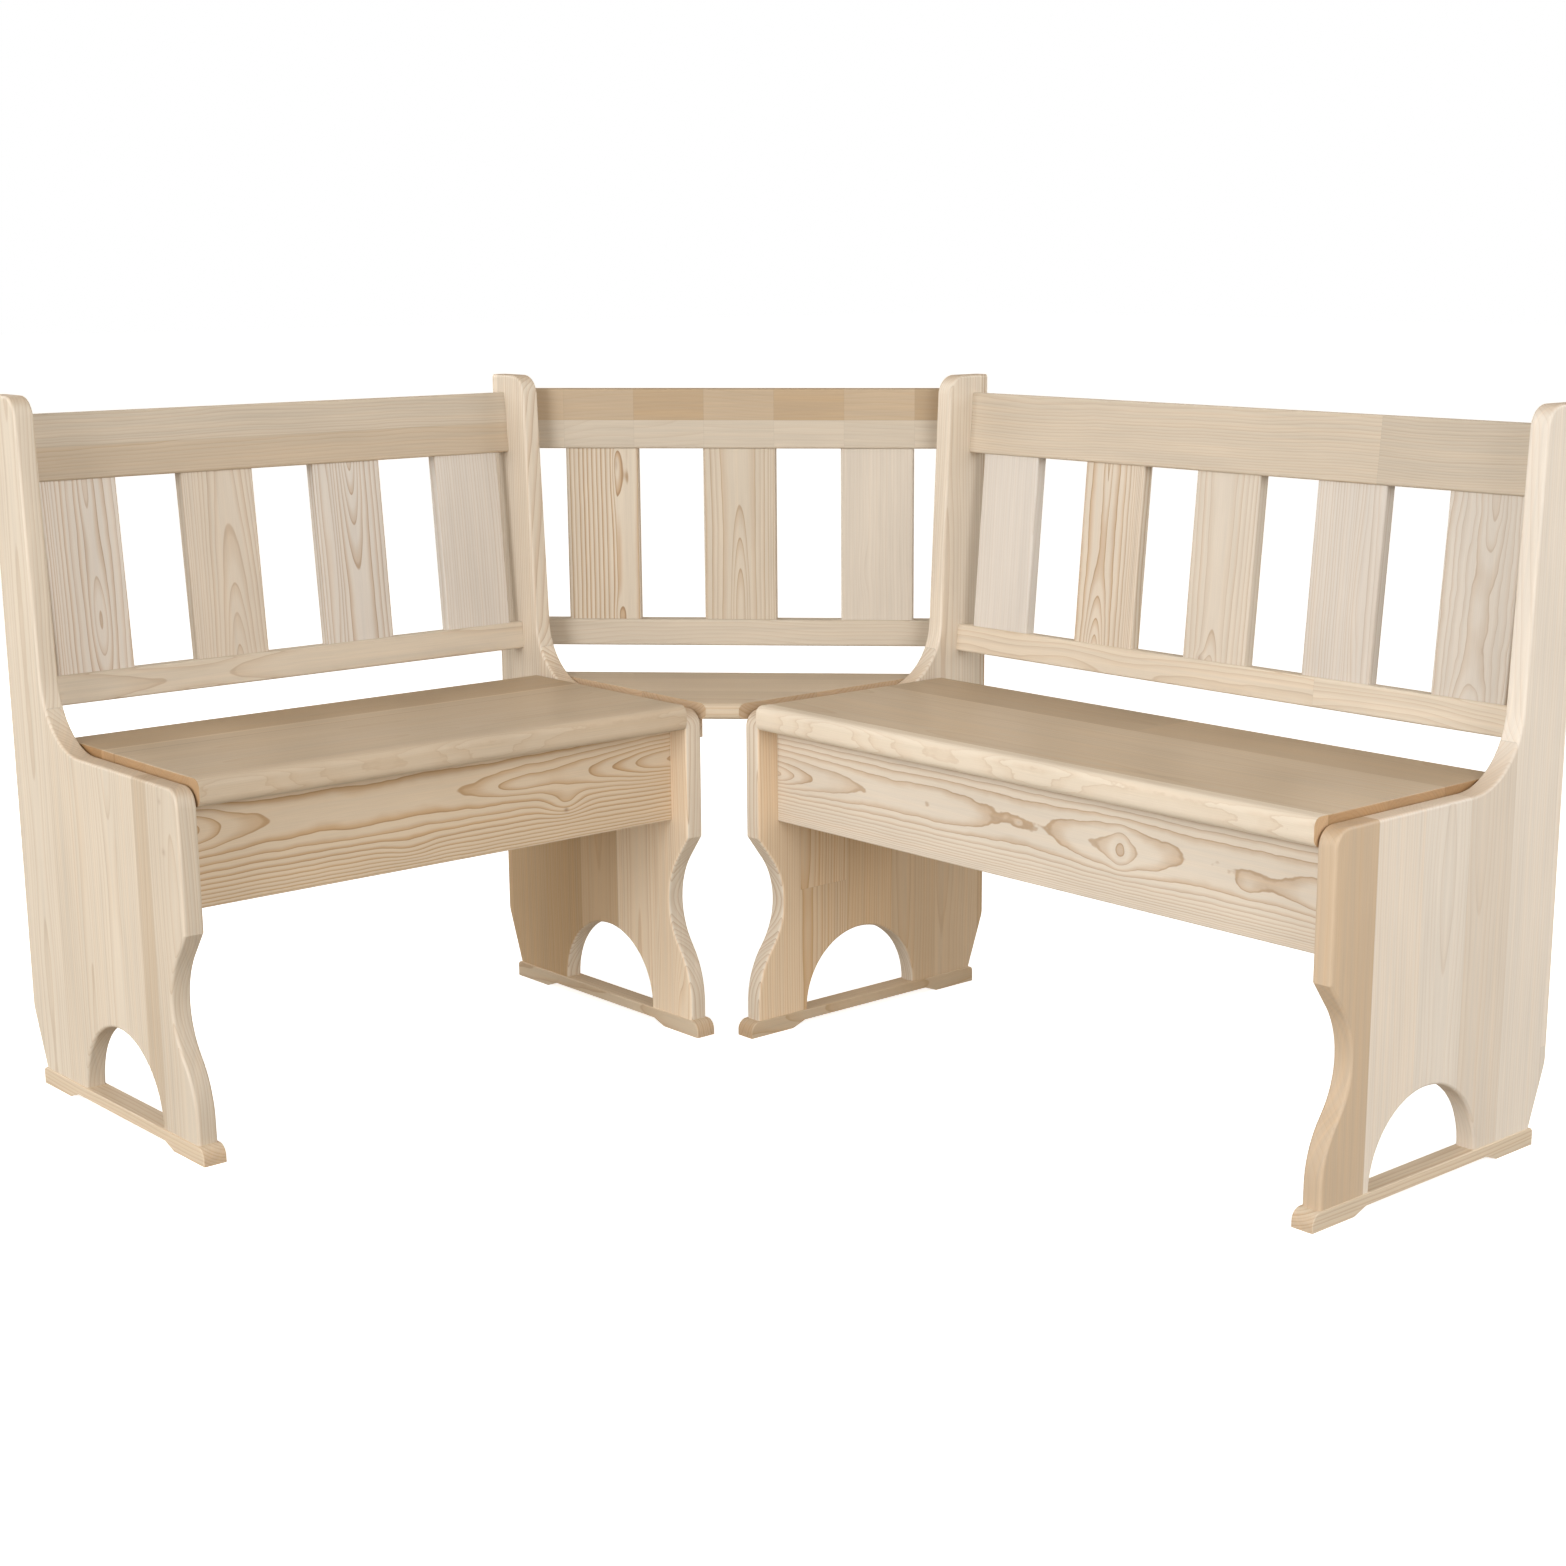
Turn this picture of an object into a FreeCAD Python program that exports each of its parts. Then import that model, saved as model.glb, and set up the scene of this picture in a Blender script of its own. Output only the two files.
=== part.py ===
import FreeCAD, Part
import math
import os

from FreeCAD import Rotation, Vector

# A corner storage bench of pine boards: two benches with hinged seat lids stand along two walls,
# and a corner seat with its own back fills the angle between them.
#
# The right bench is modelled first. Its back lies on the wall plane y = 0 and it runs along +x from
# the room corner. Depth is measured from that wall into the room, along -y. The left bench is the
# same bench mirrored in the vertical plane that halves the room corner, with its own width.
# At the end everything moves so that the origin is under the middle of the whole bench, on the floor.

# Overall sizes, in millimetres
TOTAL_HEIGHT = 885.0
PANEL_DEPTH = 430.0
PANEL_THICKNESS = 26.0
CORNER_MARGIN = 42.0
LEFT_CLEAR_WIDTH = 722.0
RIGHT_CLEAR_WIDTH = 932.0
SEAT_HEIGHT = 462.5

# Side panel outline, seen from the side
EAR_DEPTH = 73.0
EAR_TOP_RADIUS = 27.0
SHOULDER_RADIUS = 90.0
SHOULDER_DEPTH = 178.0
SHOULDER_DROP = 9.5
FRONT_CORNER_RADIUS = 22.0
CHEEK_BOTTOM = 279.0
WAIST_TOP = 252.0
WAIST_CUT = 44.0
WAIST_RADIUS = 105.0
TOE_PROUD = 2.0
TOE_RADIUS = 125.0
TOE_CENTRE_HEIGHT = 47.0
ARCH_RADIUS = 101.0
ARCH_CENTRE_DEPTH = 242.0
HEEL_SETBACK = 28.0
HEEL_HEIGHT = 100.0
HEEL_BEND_RADIUS = 30.0
PANEL_EDGE_RADIUS = 4.0

# Foot runner under each side panel
FOOT_HEIGHT = 22.0
FOOT_SIDE_OVERHANG = 2.0
FOOT_FRONT_OVERHANG = 15.0
FOOT_REAR_OVERHANG = 8.0
FOOT_NOSE_RADIUS = 14.0
FOOT_HEEL_RADIUS = 6.0
FOOT_PAD_LENGTH = 75.0
FOOT_RECESS_HEIGHT = 8.0
FOOT_RECESS_SLOPE = 22.0
FOOT_EDGE_RADIUS = 1.5

# Back rests
BACK_LEAN = 4.7
RAIL_DROP = 24.0
RAIL_TOP_DEPTH = 27.7
RAIL_THICKNESS = 26.0
TOP_RAIL_HEIGHT = 84.0
LOWER_RAIL_LIFT = 35.5
LOWER_RAIL_HEIGHT = 38.0
RAIL_EDGE_RADIUS = 3.0
SLAT_WIDTH = 104.0
SLAT_THICKNESS = 18.0
SLAT_SETBACK = 4.0
LEFT_SLAT_END_GAP = 18.0
RIGHT_SLAT_END_GAP = 26.0
SLAT_EDGE_RADIUS = 3.0
LEFT_SLATS = 4
RIGHT_SLATS = 5
MORTISE_DEPTH = 12.0
MORTISE_CLEARANCE = 0.2

# Seat lids
SEAT_REAR_DEPTH = 89.0
LID_THICKNESS = 22.0
LID_OVERHANG = 4.0
LID_SIDE_GAP = 1.8
LID_REST_GAP = 0.3
LIPPING_HEIGHT = 34.0
LIPPING_DEPTH = 24.0
LIPPING_RADIUS = 11.0
LID_EDGE_RADIUS = 1.5
LID_BATTEN_WIDTH = 45.0
LID_BATTEN_THICKNESS = 20.0
LID_BATTEN_INSET = 110.0
LID_BATTEN_END_GAP = 8.0

# Storage chests under the lids
CHEST_BOARD = 20.0
APRON_SETBACK = 35.0
APRON_HEIGHT = 141.2
APRON_EDGE_RADIUS = 2.0
CLEAT_SIZE = 18.0
CLEAT_RAISE = 2.0
CHEST_BOTTOM_THICKNESS = 8.0
CHEST_BOTTOM_GAP = 0.5

# Butt hinges behind the lids
HINGE_LENGTH = 60.0
HINGE_INSET = 150.0
LEAF_THICKNESS = 2.0
LID_LEAF_HEIGHT = 15.0
FIXED_LEAF_HEIGHT = 30.0
KNUCKLES = 3
KNUCKLE_RADIUS = 4.0
KNUCKLE_GAP = 0.3
HINGE_CLEARANCE = 0.5
PIN_RADIUS = 2.0
PIN_CLEARANCE = 0.05
PIN_HEAD_RADIUS = 3.0
PIN_HEAD_LENGTH = 1.2

# Corner seat and corner back
CORNER_BACK_WALL_GAP = 1.2
CORNER_RAIL_RISE = 4.0
CORNER_SLATS = 3
CORNER_SLAT_END_GAP = 57.9
CORNER_SEAT_BACK_GAP = 24.8
CORNER_NOSE_PROUD = 7.1
CORNER_SEAT_THICKNESS = 22.0
CORNER_NOSE_RADIUS = 9.0
CORNER_SEAT_GAP = 0.3
CORNER_CLEAT_THICKNESS = 20.0
CORNER_CLEAT_HEIGHT = 30.0
CORNER_CLEAT_FRONT_GAP = 22.0
CORNER_BATTEN_THICKNESS = 22.0
CORNER_BATTEN_HEIGHT = 35.0
CORNER_BATTEN_SETBACK = 1.5

# Dowels and screws
DOWEL_RADIUS = 4.0
DOWEL_LENGTH = 30.0
DOWEL_IN_PANEL = 11.0
DOWEL_CLEARANCE = 0.05
DOWEL_END_GAP = 1.0
RAIL_DOWELS = 2
RAIL_DOWEL_SPREAD = 44.0
BOARD_DOWELS = 2
BOARD_DOWEL_SPREAD = 70.0
SCREW_RADIUS = 2.0
SCREW_HEAD_RADIUS = 3.9
SCREW_HEAD_DEPTH = 1.9
SCREW_CLEARANCE = 0.05
SCREW_TIP_GAP = 1.0
HINGE_SCREW_LENGTH = 16.0
HINGE_SCREWS = 3
HINGE_SCREW_SPREAD = 42.0
LID_SCREW_HEIGHT = 8.0
BATTEN_SCREWS = 3
BATTEN_SCREW_LENGTH = 32.0
CLEAT_SCREWS = 4
CLEAT_SCREW_LENGTH = 30.0
CLEAT_SCREW_INSET = 60.0
CORNER_CLEAT_SCREWS = 3
CORNER_CLEAT_SCREW_LENGTH = 33.0
CORNER_SEAT_SCREW_LENGTH = 42.0
FOOT_SCREW_LENGTH = 50.0
FOOT_SCREW_INSET = 43.0
FOOT_SCREW_SINK = 4.0
COUNTERBORE_RADIUS = 4.5
SCREW_ROW_INSET = 30.0

# Directions in the side view, as angles in degrees
FRONT, UP, REAR, DOWN = 0, 90, 180, 270
# Two walls at right angles, halved by the plane in which the left side mirrors the right
CORNER_TURN = 45
DIAGONAL = math.sqrt(2)

# Places that follow from the sizes above
CORNER_REACH = PANEL_DEPTH + CORNER_MARGIN
NEAR_FACE = CORNER_REACH + PANEL_THICKNESS
SHOULDER_HEIGHT = SEAT_HEIGHT - SHOULDER_DROP
LID_UNDERSIDE = SEAT_HEIGHT - LID_THICKNESS
LID_FRONT = PANEL_DEPTH + LID_OVERHANG
APRON_FRONT = PANEL_DEPTH - APRON_SETBACK
APRON_REAR = APRON_FRONT - CHEST_BOARD
CHEST_BACK_FRONT = SEAT_REAR_DEPTH + CHEST_BOARD
CHEST_TOP = LID_UNDERSIDE - LID_REST_GAP
APRON_BOTTOM = CHEST_TOP - APRON_HEIGHT
CLEAT_BOTTOM = APRON_BOTTOM + CLEAT_RAISE
CLEAT_TOP = CLEAT_BOTTOM + CLEAT_SIZE
CLEAT_MIDDLE = CLEAT_BOTTOM + CLEAT_SIZE / 2
HINGE_DEPTH = SEAT_REAR_DEPTH - KNUCKLE_RADIUS - HINGE_CLEARANCE
LEAF_START = KNUCKLE_RADIUS + HINGE_CLEARANCE
LEAF_REAR = SEAT_REAR_DEPTH - LEAF_THICKNESS
TOE_DEPTH = PANEL_DEPTH + TOE_PROUD
RAIL_TOP = TOTAL_HEIGHT - RAIL_DROP
LOWER_RAIL_TOP = SEAT_HEIGHT + LOWER_RAIL_LIFT + LOWER_RAIL_HEIGHT
FOOT_FRONT = TOE_DEPTH + FOOT_FRONT_OVERHANG
FOOT_REAR = HEEL_SETBACK - FOOT_REAR_OVERHANG
CORNER_RAIL_TOP = RAIL_TOP + CORNER_RAIL_RISE
CORNER_BACK_REAR = (CORNER_REACH + CORNER_BACK_WALL_GAP) / DIAGONAL
CORNER_BACK_FRONT = CORNER_BACK_REAR + RAIL_THICKNESS
CORNER_BACK_WIDTH = 2 * (DIAGONAL * CORNER_REACH - CORNER_BACK_FRONT)
CORNER_SEAT_REAR = CORNER_BACK_FRONT + CORNER_SEAT_BACK_GAP
CORNER_SEAT_FRONT = (PANEL_DEPTH + CORNER_REACH) / DIAGONAL + CORNER_NOSE_PROUD
CORNER_SEAT_UNDERSIDE = SEAT_HEIGHT - CORNER_SEAT_THICKNESS
CORNER_CLEAT_BOTTOM = CORNER_SEAT_UNDERSIDE - CORNER_CLEAT_HEIGHT
CORNER_BATTEN_REAR = CORNER_SEAT_REAR + CORNER_BATTEN_SETBACK
CORNER_BATTEN_FRONT = CORNER_BATTEN_REAR + CORNER_BATTEN_THICKNESS
BENCH_LENGTH = CORNER_REACH + RIGHT_CLEAR_WIDTH + 2 * PANEL_THICKNESS + FOOT_SIDE_OVERHANG
SIDE_LENGTH = CORNER_REACH + LEFT_CLEAR_WIDTH + 2 * PANEL_THICKNESS + FOOT_SIDE_OVERHANG


def board(x0, x1, depth0, depth1, z0, z1):
    """A board between two places along the wall, two depths and two heights."""
    return Part.makeBox(x1 - x0, depth1 - depth0, z1 - z0, Vector(x0, -depth1, z0))


def round_edges(shape, radius, wanted):
    """Round the straight edges for which wanted(direction, middle) is true."""
    chosen = []
    for edge in shape.Edges:
        direction = edge.tangentAt(edge.FirstParameter)
        if wanted(direction, middle_of(edge)):
            chosen.append(edge)
    return shape.makeFillet(radius, chosen)


def middle_of(edge):
    return edge.valueAt((edge.FirstParameter + edge.LastParameter) / 2)


def round_long_edges(shape, radius):
    """Round the four edges that run along the wall."""
    return round_edges(shape, radius, lambda direction, middle: abs(direction.x) > 0.99)


def round_upright_edges(shape, radius):
    return round_edges(shape, radius, lambda direction, middle: abs(direction.z) > 0.99)


def side_point(point):
    """A point of the side view, given as (depth, height), in space."""
    return Vector(0, -point[0], point[1])


def side_line(start, end):
    return Part.LineSegment(side_point(start), side_point(end)).toShape()


def on_circle(centre, radius, angle):
    """A point of the side view on a circle. Angle 0 is to the front and 90 is up."""
    turn = math.radians(angle)
    return (centre[0] + radius * math.cos(turn), centre[1] + radius * math.sin(turn))


def side_arc(centre, radius, first, last):
    points = [on_circle(centre, radius, angle) for angle in (first, (first + last) / 2, last)]
    return Part.Arc(*[side_point(point) for point in points]).toShape()


def crossed_tangent(rear_centre, rear_radius, front_centre, front_radius):
    """Angle of the normal of the line that passes in front of one circle and behind the other."""
    across = front_centre[0] - rear_centre[0]
    down = rear_centre[1] - front_centre[1]
    reach = math.hypot(across, down)
    return math.degrees(math.acos((rear_radius + front_radius) / reach) - math.atan2(down, across))


def side_solid(edges, x0, thickness):
    """A board with the given outline in the side view, cut from x0 on along the wall."""
    outline = Part.Wire(Part.__sortEdges__(edges))
    solid = Part.Face(outline).extrude(Vector(thickness, 0, 0))
    solid.translate(Vector(x0, 0, 0))
    return solid


def round_outline(solid, outline_edges, radius):
    """Round those edges of a side-view board that lie over the given edges of its outline."""
    targets = [middle_of(edge) for edge in outline_edges]
    chosen = []
    for edge in solid.Edges:
        middle = middle_of(edge)
        over = [t for t in targets if math.hypot(middle.y - t.y, middle.z - t.z) < 0.01]
        if over and abs(edge.tangentAt(edge.FirstParameter).x) < 0.5:
            chosen.append(edge)
    return solid.makeFillet(radius, chosen)


def panel_outline():
    """Edges of the side panel: those with a rounded arris, and the square ones behind and below."""
    ear_centre = (EAR_DEPTH - EAR_TOP_RADIUS, TOTAL_HEIGHT - EAR_TOP_RADIUS)
    shoulder_centre = (SHOULDER_DEPTH, SHOULDER_HEIGHT + SHOULDER_RADIUS)
    lean = crossed_tangent(ear_centre, EAR_TOP_RADIUS, shoulder_centre, SHOULDER_RADIUS)
    corner_centre = (PANEL_DEPTH - FRONT_CORNER_RADIUS, SHOULDER_HEIGHT - FRONT_CORNER_RADIUS)

    toe_centre = (TOE_DEPTH - TOE_RADIUS, TOE_CENTRE_HEIGHT)
    waist_across = PANEL_DEPTH - WAIST_CUT + WAIST_RADIUS - toe_centre[0]
    both_radii = WAIST_RADIUS + TOE_RADIUS
    toe_angle = math.degrees(math.acos(waist_across / both_radii))
    waist_centre = on_circle(toe_centre, both_radii, toe_angle)
    waist_rise = WAIST_TOP - waist_centre[1]
    waist_angle = REAR - math.degrees(math.asin(waist_rise / WAIST_RADIUS))

    slant = math.degrees(math.atan2(HEEL_SETBACK, HEEL_HEIGHT - FOOT_HEIGHT))
    bend_reach = HEEL_BEND_RADIUS * math.tan(math.radians(slant / 2))
    bend_centre = (HEEL_BEND_RADIUS, HEEL_HEIGHT + bend_reach)
    arch_centre = (ARCH_CENTRE_DEPTH, FOOT_HEIGHT)

    rear_top = (0, TOTAL_HEIGHT)
    cheek = (PANEL_DEPTH, CHEEK_BOTTOM)
    toe = (TOE_DEPTH, FOOT_HEIGHT)
    heel = (HEEL_SETBACK, FOOT_HEIGHT)
    rounded = [
        side_line(rear_top, on_circle(ear_centre, EAR_TOP_RADIUS, UP)),
        side_arc(ear_centre, EAR_TOP_RADIUS, UP, lean),
        side_line(on_circle(ear_centre, EAR_TOP_RADIUS, lean),
                  on_circle(shoulder_centre, SHOULDER_RADIUS, REAR + lean)),
        side_arc(shoulder_centre, SHOULDER_RADIUS, REAR + lean, DOWN),
        side_line((SHOULDER_DEPTH, SHOULDER_HEIGHT), on_circle(corner_centre, FRONT_CORNER_RADIUS, UP)),
        side_arc(corner_centre, FRONT_CORNER_RADIUS, UP, FRONT),
        side_line(on_circle(corner_centre, FRONT_CORNER_RADIUS, FRONT), cheek),
        side_line(cheek, on_circle(waist_centre, WAIST_RADIUS, waist_angle)),
        side_arc(waist_centre, WAIST_RADIUS, waist_angle, REAR + toe_angle),
        side_arc(toe_centre, TOE_RADIUS, toe_angle, FRONT),
        side_line(on_circle(toe_centre, TOE_RADIUS, FRONT), toe),
        side_arc(arch_centre, ARCH_RADIUS, FRONT, REAR),
    ]
    square = [
        side_line(toe, on_circle(arch_centre, ARCH_RADIUS, FRONT)),
        side_line(on_circle(arch_centre, ARCH_RADIUS, REAR), heel),
        side_line(heel, on_circle(bend_centre, HEEL_BEND_RADIUS, REAR + slant)),
        side_arc(bend_centre, HEEL_BEND_RADIUS, REAR + slant, REAR),
        side_line(on_circle(bend_centre, HEEL_BEND_RADIUS, REAR), rear_top),
    ]
    return rounded, square


def side_panel(x0):
    rounded, square = panel_outline()
    solid = side_solid(rounded + square, x0, PANEL_THICKNESS)
    return round_outline(solid, rounded, PANEL_EDGE_RADIUS)


def foot_runner(x0):
    """The runner under a side panel whose face is at x0, with a shallow recess between two pads."""
    nose_centre = (FOOT_FRONT - FOOT_NOSE_RADIUS, FOOT_HEIGHT - FOOT_NOSE_RADIUS)
    heel_centre = (FOOT_REAR + FOOT_HEEL_RADIUS, FOOT_HEIGHT - FOOT_HEEL_RADIUS)
    rear_pad = FOOT_REAR + FOOT_PAD_LENGTH
    front_pad = FOOT_FRONT - FOOT_PAD_LENGTH
    top = [
        side_arc(heel_centre, FOOT_HEEL_RADIUS, REAR, UP),
        side_line(on_circle(heel_centre, FOOT_HEEL_RADIUS, UP),
                  on_circle(nose_centre, FOOT_NOSE_RADIUS, UP)),
        side_arc(nose_centre, FOOT_NOSE_RADIUS, UP, FRONT),
    ]
    below = [
        (FOOT_FRONT, FOOT_HEIGHT - FOOT_NOSE_RADIUS),
        (FOOT_FRONT, 0),
        (front_pad, 0),
        (front_pad - FOOT_RECESS_SLOPE, FOOT_RECESS_HEIGHT),
        (rear_pad + FOOT_RECESS_SLOPE, FOOT_RECESS_HEIGHT),
        (rear_pad, 0),
        (FOOT_REAR, 0),
        (FOOT_REAR, FOOT_HEIGHT - FOOT_HEEL_RADIUS),
    ]
    bottom = [side_line(start, end) for start, end in zip(below, below[1:])]
    width = PANEL_THICKNESS + 2 * FOOT_SIDE_OVERHANG
    solid = side_solid(top + bottom, x0 - FOOT_SIDE_OVERHANG, width)
    return round_outline(solid, top, FOOT_EDGE_RADIUS)


def screw(head, direction, length, grow=0.0, tip_gap=0.0):
    """A countersunk screw from the middle of its head, or with grow the hole that takes it."""
    core = SCREW_RADIUS + grow
    cone = Part.makeCone(SCREW_HEAD_RADIUS + grow, core, SCREW_HEAD_DEPTH)
    shank = Part.makeCylinder(core, length + tip_gap - SCREW_HEAD_DEPTH, Vector(0, 0, SCREW_HEAD_DEPTH))
    solid = cone.fuse(shank).removeSplitter()
    solid.Placement = FreeCAD.Placement(head, Rotation(Vector(0, 0, 1), direction))
    return solid


def screw_hole(head, direction, length):
    return screw(head, direction, length, SCREW_CLEARANCE, SCREW_TIP_GAP)


def dowel(face_x, depth, height, into_panel):
    """A dowel across a joint with a panel's face, where into_panel is +1 or -1 along the wall."""
    start = face_x + DOWEL_IN_PANEL * into_panel
    return Part.makeCylinder(DOWEL_RADIUS, DOWEL_LENGTH, Vector(start, -depth, height),
                             Vector(-into_panel, 0, 0))


def dowel_hole(face_x, depth, height, into_panel):
    start = face_x + (DOWEL_IN_PANEL + DOWEL_END_GAP) * into_panel
    length = DOWEL_LENGTH + 2 * DOWEL_END_GAP
    return Part.makeCylinder(DOWEL_RADIUS + DOWEL_CLEARANCE, length, Vector(start, -depth, height),
                             Vector(-into_panel, 0, 0))


def spread(middle, width, count):
    """Evenly spaced places about a middle."""
    step = width / (count - 1)
    return [middle - width / 2 + step * index for index in range(count)]


def lean_back(shape):
    """Tip an upright back about the top front edge of its top rail, with its foot to the front."""
    return shape.rotate(Vector(0, -RAIL_TOP_DEPTH, RAIL_TOP), Vector(1, 0, 0), -BACK_LEAN)


def lean_point(behind, below):
    """The (depth, height) of a point so far behind the rails' front and below their top, leant back."""
    turn = math.radians(BACK_LEAN)
    depth = RAIL_TOP_DEPTH - behind * math.cos(turn) + below * math.sin(turn)
    return depth, RAIL_TOP - behind * math.sin(turn) - below * math.cos(turn)


def back_boards(middle, width, slat_count, slat_span, front, top, lower_top):
    """An upright back about a middle: two rails of a width, and slats that fill a span between them."""
    x0, x1 = middle - width / 2, middle + width / 2
    rear = front - RAIL_THICKNESS
    top_rail = board(x0, x1, rear, front, top - TOP_RAIL_HEIGHT, top)
    lower_rail = board(x0, x1, rear, front, lower_top - LOWER_RAIL_HEIGHT, lower_top)
    top_rail = round_long_edges(top_rail, RAIL_EDGE_RADIUS)
    lower_rail = round_long_edges(lower_rail, RAIL_EDGE_RADIUS)
    foot = lower_top - MORTISE_DEPTH
    head = top - TOP_RAIL_HEIGHT + MORTISE_DEPTH
    slat_front = front - SLAT_SETBACK
    slat_rear = slat_front - SLAT_THICKNESS
    slats = []
    for centre in spread(middle, slat_span - SLAT_WIDTH, slat_count):
        edges = (centre - SLAT_WIDTH / 2, centre + SLAT_WIDTH / 2)
        slat = board(edges[0], edges[1], slat_rear, slat_front, foot, head)
        slats.append(round_upright_edges(slat, SLAT_EDGE_RADIUS))
        mortise = board(edges[0] - MORTISE_CLEARANCE, edges[1] + MORTISE_CLEARANCE,
                        slat_rear - MORTISE_CLEARANCE, slat_front + MORTISE_CLEARANCE,
                        foot - MORTISE_CLEARANCE, head + MORTISE_CLEARANCE)
        mortise = round_upright_edges(mortise, SLAT_EDGE_RADIUS)
        top_rail = top_rail.cut(mortise)
        lower_rail = lower_rail.cut(mortise)
    return top_rail, lower_rail, slats


def bench_dowel_spots():
    """Where dowels join the rails, the apron and the chest's back to the panels, as (depth, height)."""
    half = RAIL_THICKNESS / 2
    rows = spread(TOP_RAIL_HEIGHT / 2, RAIL_DOWEL_SPREAD, RAIL_DOWELS)
    spots = [lean_point(half, below) for below in rows]
    slope = math.cos(math.radians(BACK_LEAN))
    lower_middle = (RAIL_TOP - LOWER_RAIL_TOP) / slope + LOWER_RAIL_HEIGHT / 2
    spots.append(lean_point(half, lower_middle))
    chest_middle = (APRON_BOTTOM + CHEST_TOP) / 2
    for depth in (APRON_REAR + CHEST_BOARD / 2, SEAT_REAR_DEPTH + CHEST_BOARD / 2):
        for height in spread(chest_middle, BOARD_DOWEL_SPREAD, BOARD_DOWELS):
            spots.append((depth, height))
    return spots


def bench_dowels(clear_width, make=dowel):
    """The dowels of a bench, or with make=dowel_hole the holes that take them."""
    solids = []
    for depth, height in bench_dowel_spots():
        solids.append(make(NEAR_FACE, depth, height, -1))
        solids.append(make(NEAR_FACE + clear_width, depth, height, 1))
    return solids


def hinge_places(clear_width):
    return (NEAR_FACE + HINGE_INSET, NEAR_FACE + clear_width - HINGE_INSET)


def knuckle(x0, x1):
    """One barrel of a hinge about the hinge axis, bored for the pin."""
    base = Vector(x0, -HINGE_DEPTH, LID_UNDERSIDE)
    barrel = Part.makeCylinder(KNUCKLE_RADIUS, x1 - x0, base, Vector(1, 0, 0))
    bore = Part.makeCylinder(PIN_RADIUS + PIN_CLEARANCE, x1 - x0, base, Vector(1, 0, 0))
    return barrel, bore


def hinge_leaf(centre, knuckle_spans, upward, height, screw_places):
    """A leaf on the rear faces of lid and chest, rising from the axis where upward is +1."""
    near, far = sorted((LEAF_START * upward, (LEAF_START + height) * upward))
    leaf = board(centre - HINGE_LENGTH / 2, centre + HINGE_LENGTH / 2, LEAF_REAR, SEAT_REAR_DEPTH,
                 LID_UNDERSIDE + near, LID_UNDERSIDE + far)
    low, high = sorted((0, LEAF_START * upward))
    bores = []
    for x0, x1 in knuckle_spans:
        barrel, bore = knuckle(x0, x1)
        tongue = board(x0, x1, LEAF_REAR, HINGE_DEPTH + KNUCKLE_RADIUS,
                       LID_UNDERSIDE + low, LID_UNDERSIDE + high)
        leaf = leaf.fuse([barrel, tongue])
        bores.append(bore)
    holes = [screw_hole(place, Vector(0, -1, 0), HINGE_SCREW_LENGTH) for place in screw_places]
    return leaf.cut(bores + holes).removeSplitter()


def knuckle_spans(centre):
    """Ends of a hinge's three barrels: the outer two are fixed, and the middle one is the lid's."""
    step = HINGE_LENGTH / KNUCKLES
    start = centre - HINGE_LENGTH / 2
    spans = [(start + step * index, start + step * (index + 1)) for index in range(KNUCKLES)]
    spans[1] = (spans[1][0] + KNUCKLE_GAP, spans[1][1] - KNUCKLE_GAP)
    return (spans[0], spans[2]), (spans[1],)


def hinge_screw_places(clear_width, height):
    """Heads of the hinge screws in a row across each leaf, at a height from the hinge axis."""
    places = []
    for centre in hinge_places(clear_width):
        for x in spread(centre, HINGE_SCREW_SPREAD, HINGE_SCREWS):
            places.append(Vector(x, -LEAF_REAR, LID_UNDERSIDE + height))
    return places


def hinge_pin(centre):
    reach = HINGE_LENGTH / 2
    pin = Part.makeCylinder(PIN_RADIUS, HINGE_LENGTH, Vector(centre - reach, -HINGE_DEPTH, LID_UNDERSIDE),
                            Vector(1, 0, 0))
    for x in (centre - reach - PIN_HEAD_LENGTH, centre + reach):
        head = Part.makeCylinder(PIN_HEAD_RADIUS, PIN_HEAD_LENGTH,
                                 Vector(x, -HINGE_DEPTH, LID_UNDERSIDE), Vector(1, 0, 0))
        pin = pin.fuse(head)
    return pin.removeSplitter()


def lid_battens(clear_width):
    """Two battens across the underside of a lid, and the heads of their screws."""
    x_middles = (NEAR_FACE + LID_BATTEN_INSET, NEAR_FACE + clear_width - LID_BATTEN_INSET)
    rear = CHEST_BACK_FRONT + LID_BATTEN_END_GAP
    front = APRON_REAR - LID_BATTEN_END_GAP
    bottom = LID_UNDERSIDE - LID_BATTEN_THICKNESS
    battens, heads = [], []
    for x in x_middles:
        batten = board(x - LID_BATTEN_WIDTH / 2, x + LID_BATTEN_WIDTH / 2, rear, front,
                       bottom, LID_UNDERSIDE)
        battens.append(batten)
        for depth in spread((rear + front) / 2, front - rear - 2 * SCREW_ROW_INSET, BATTEN_SCREWS):
            heads.append(Vector(x, -depth, bottom))
    return battens, heads


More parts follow.
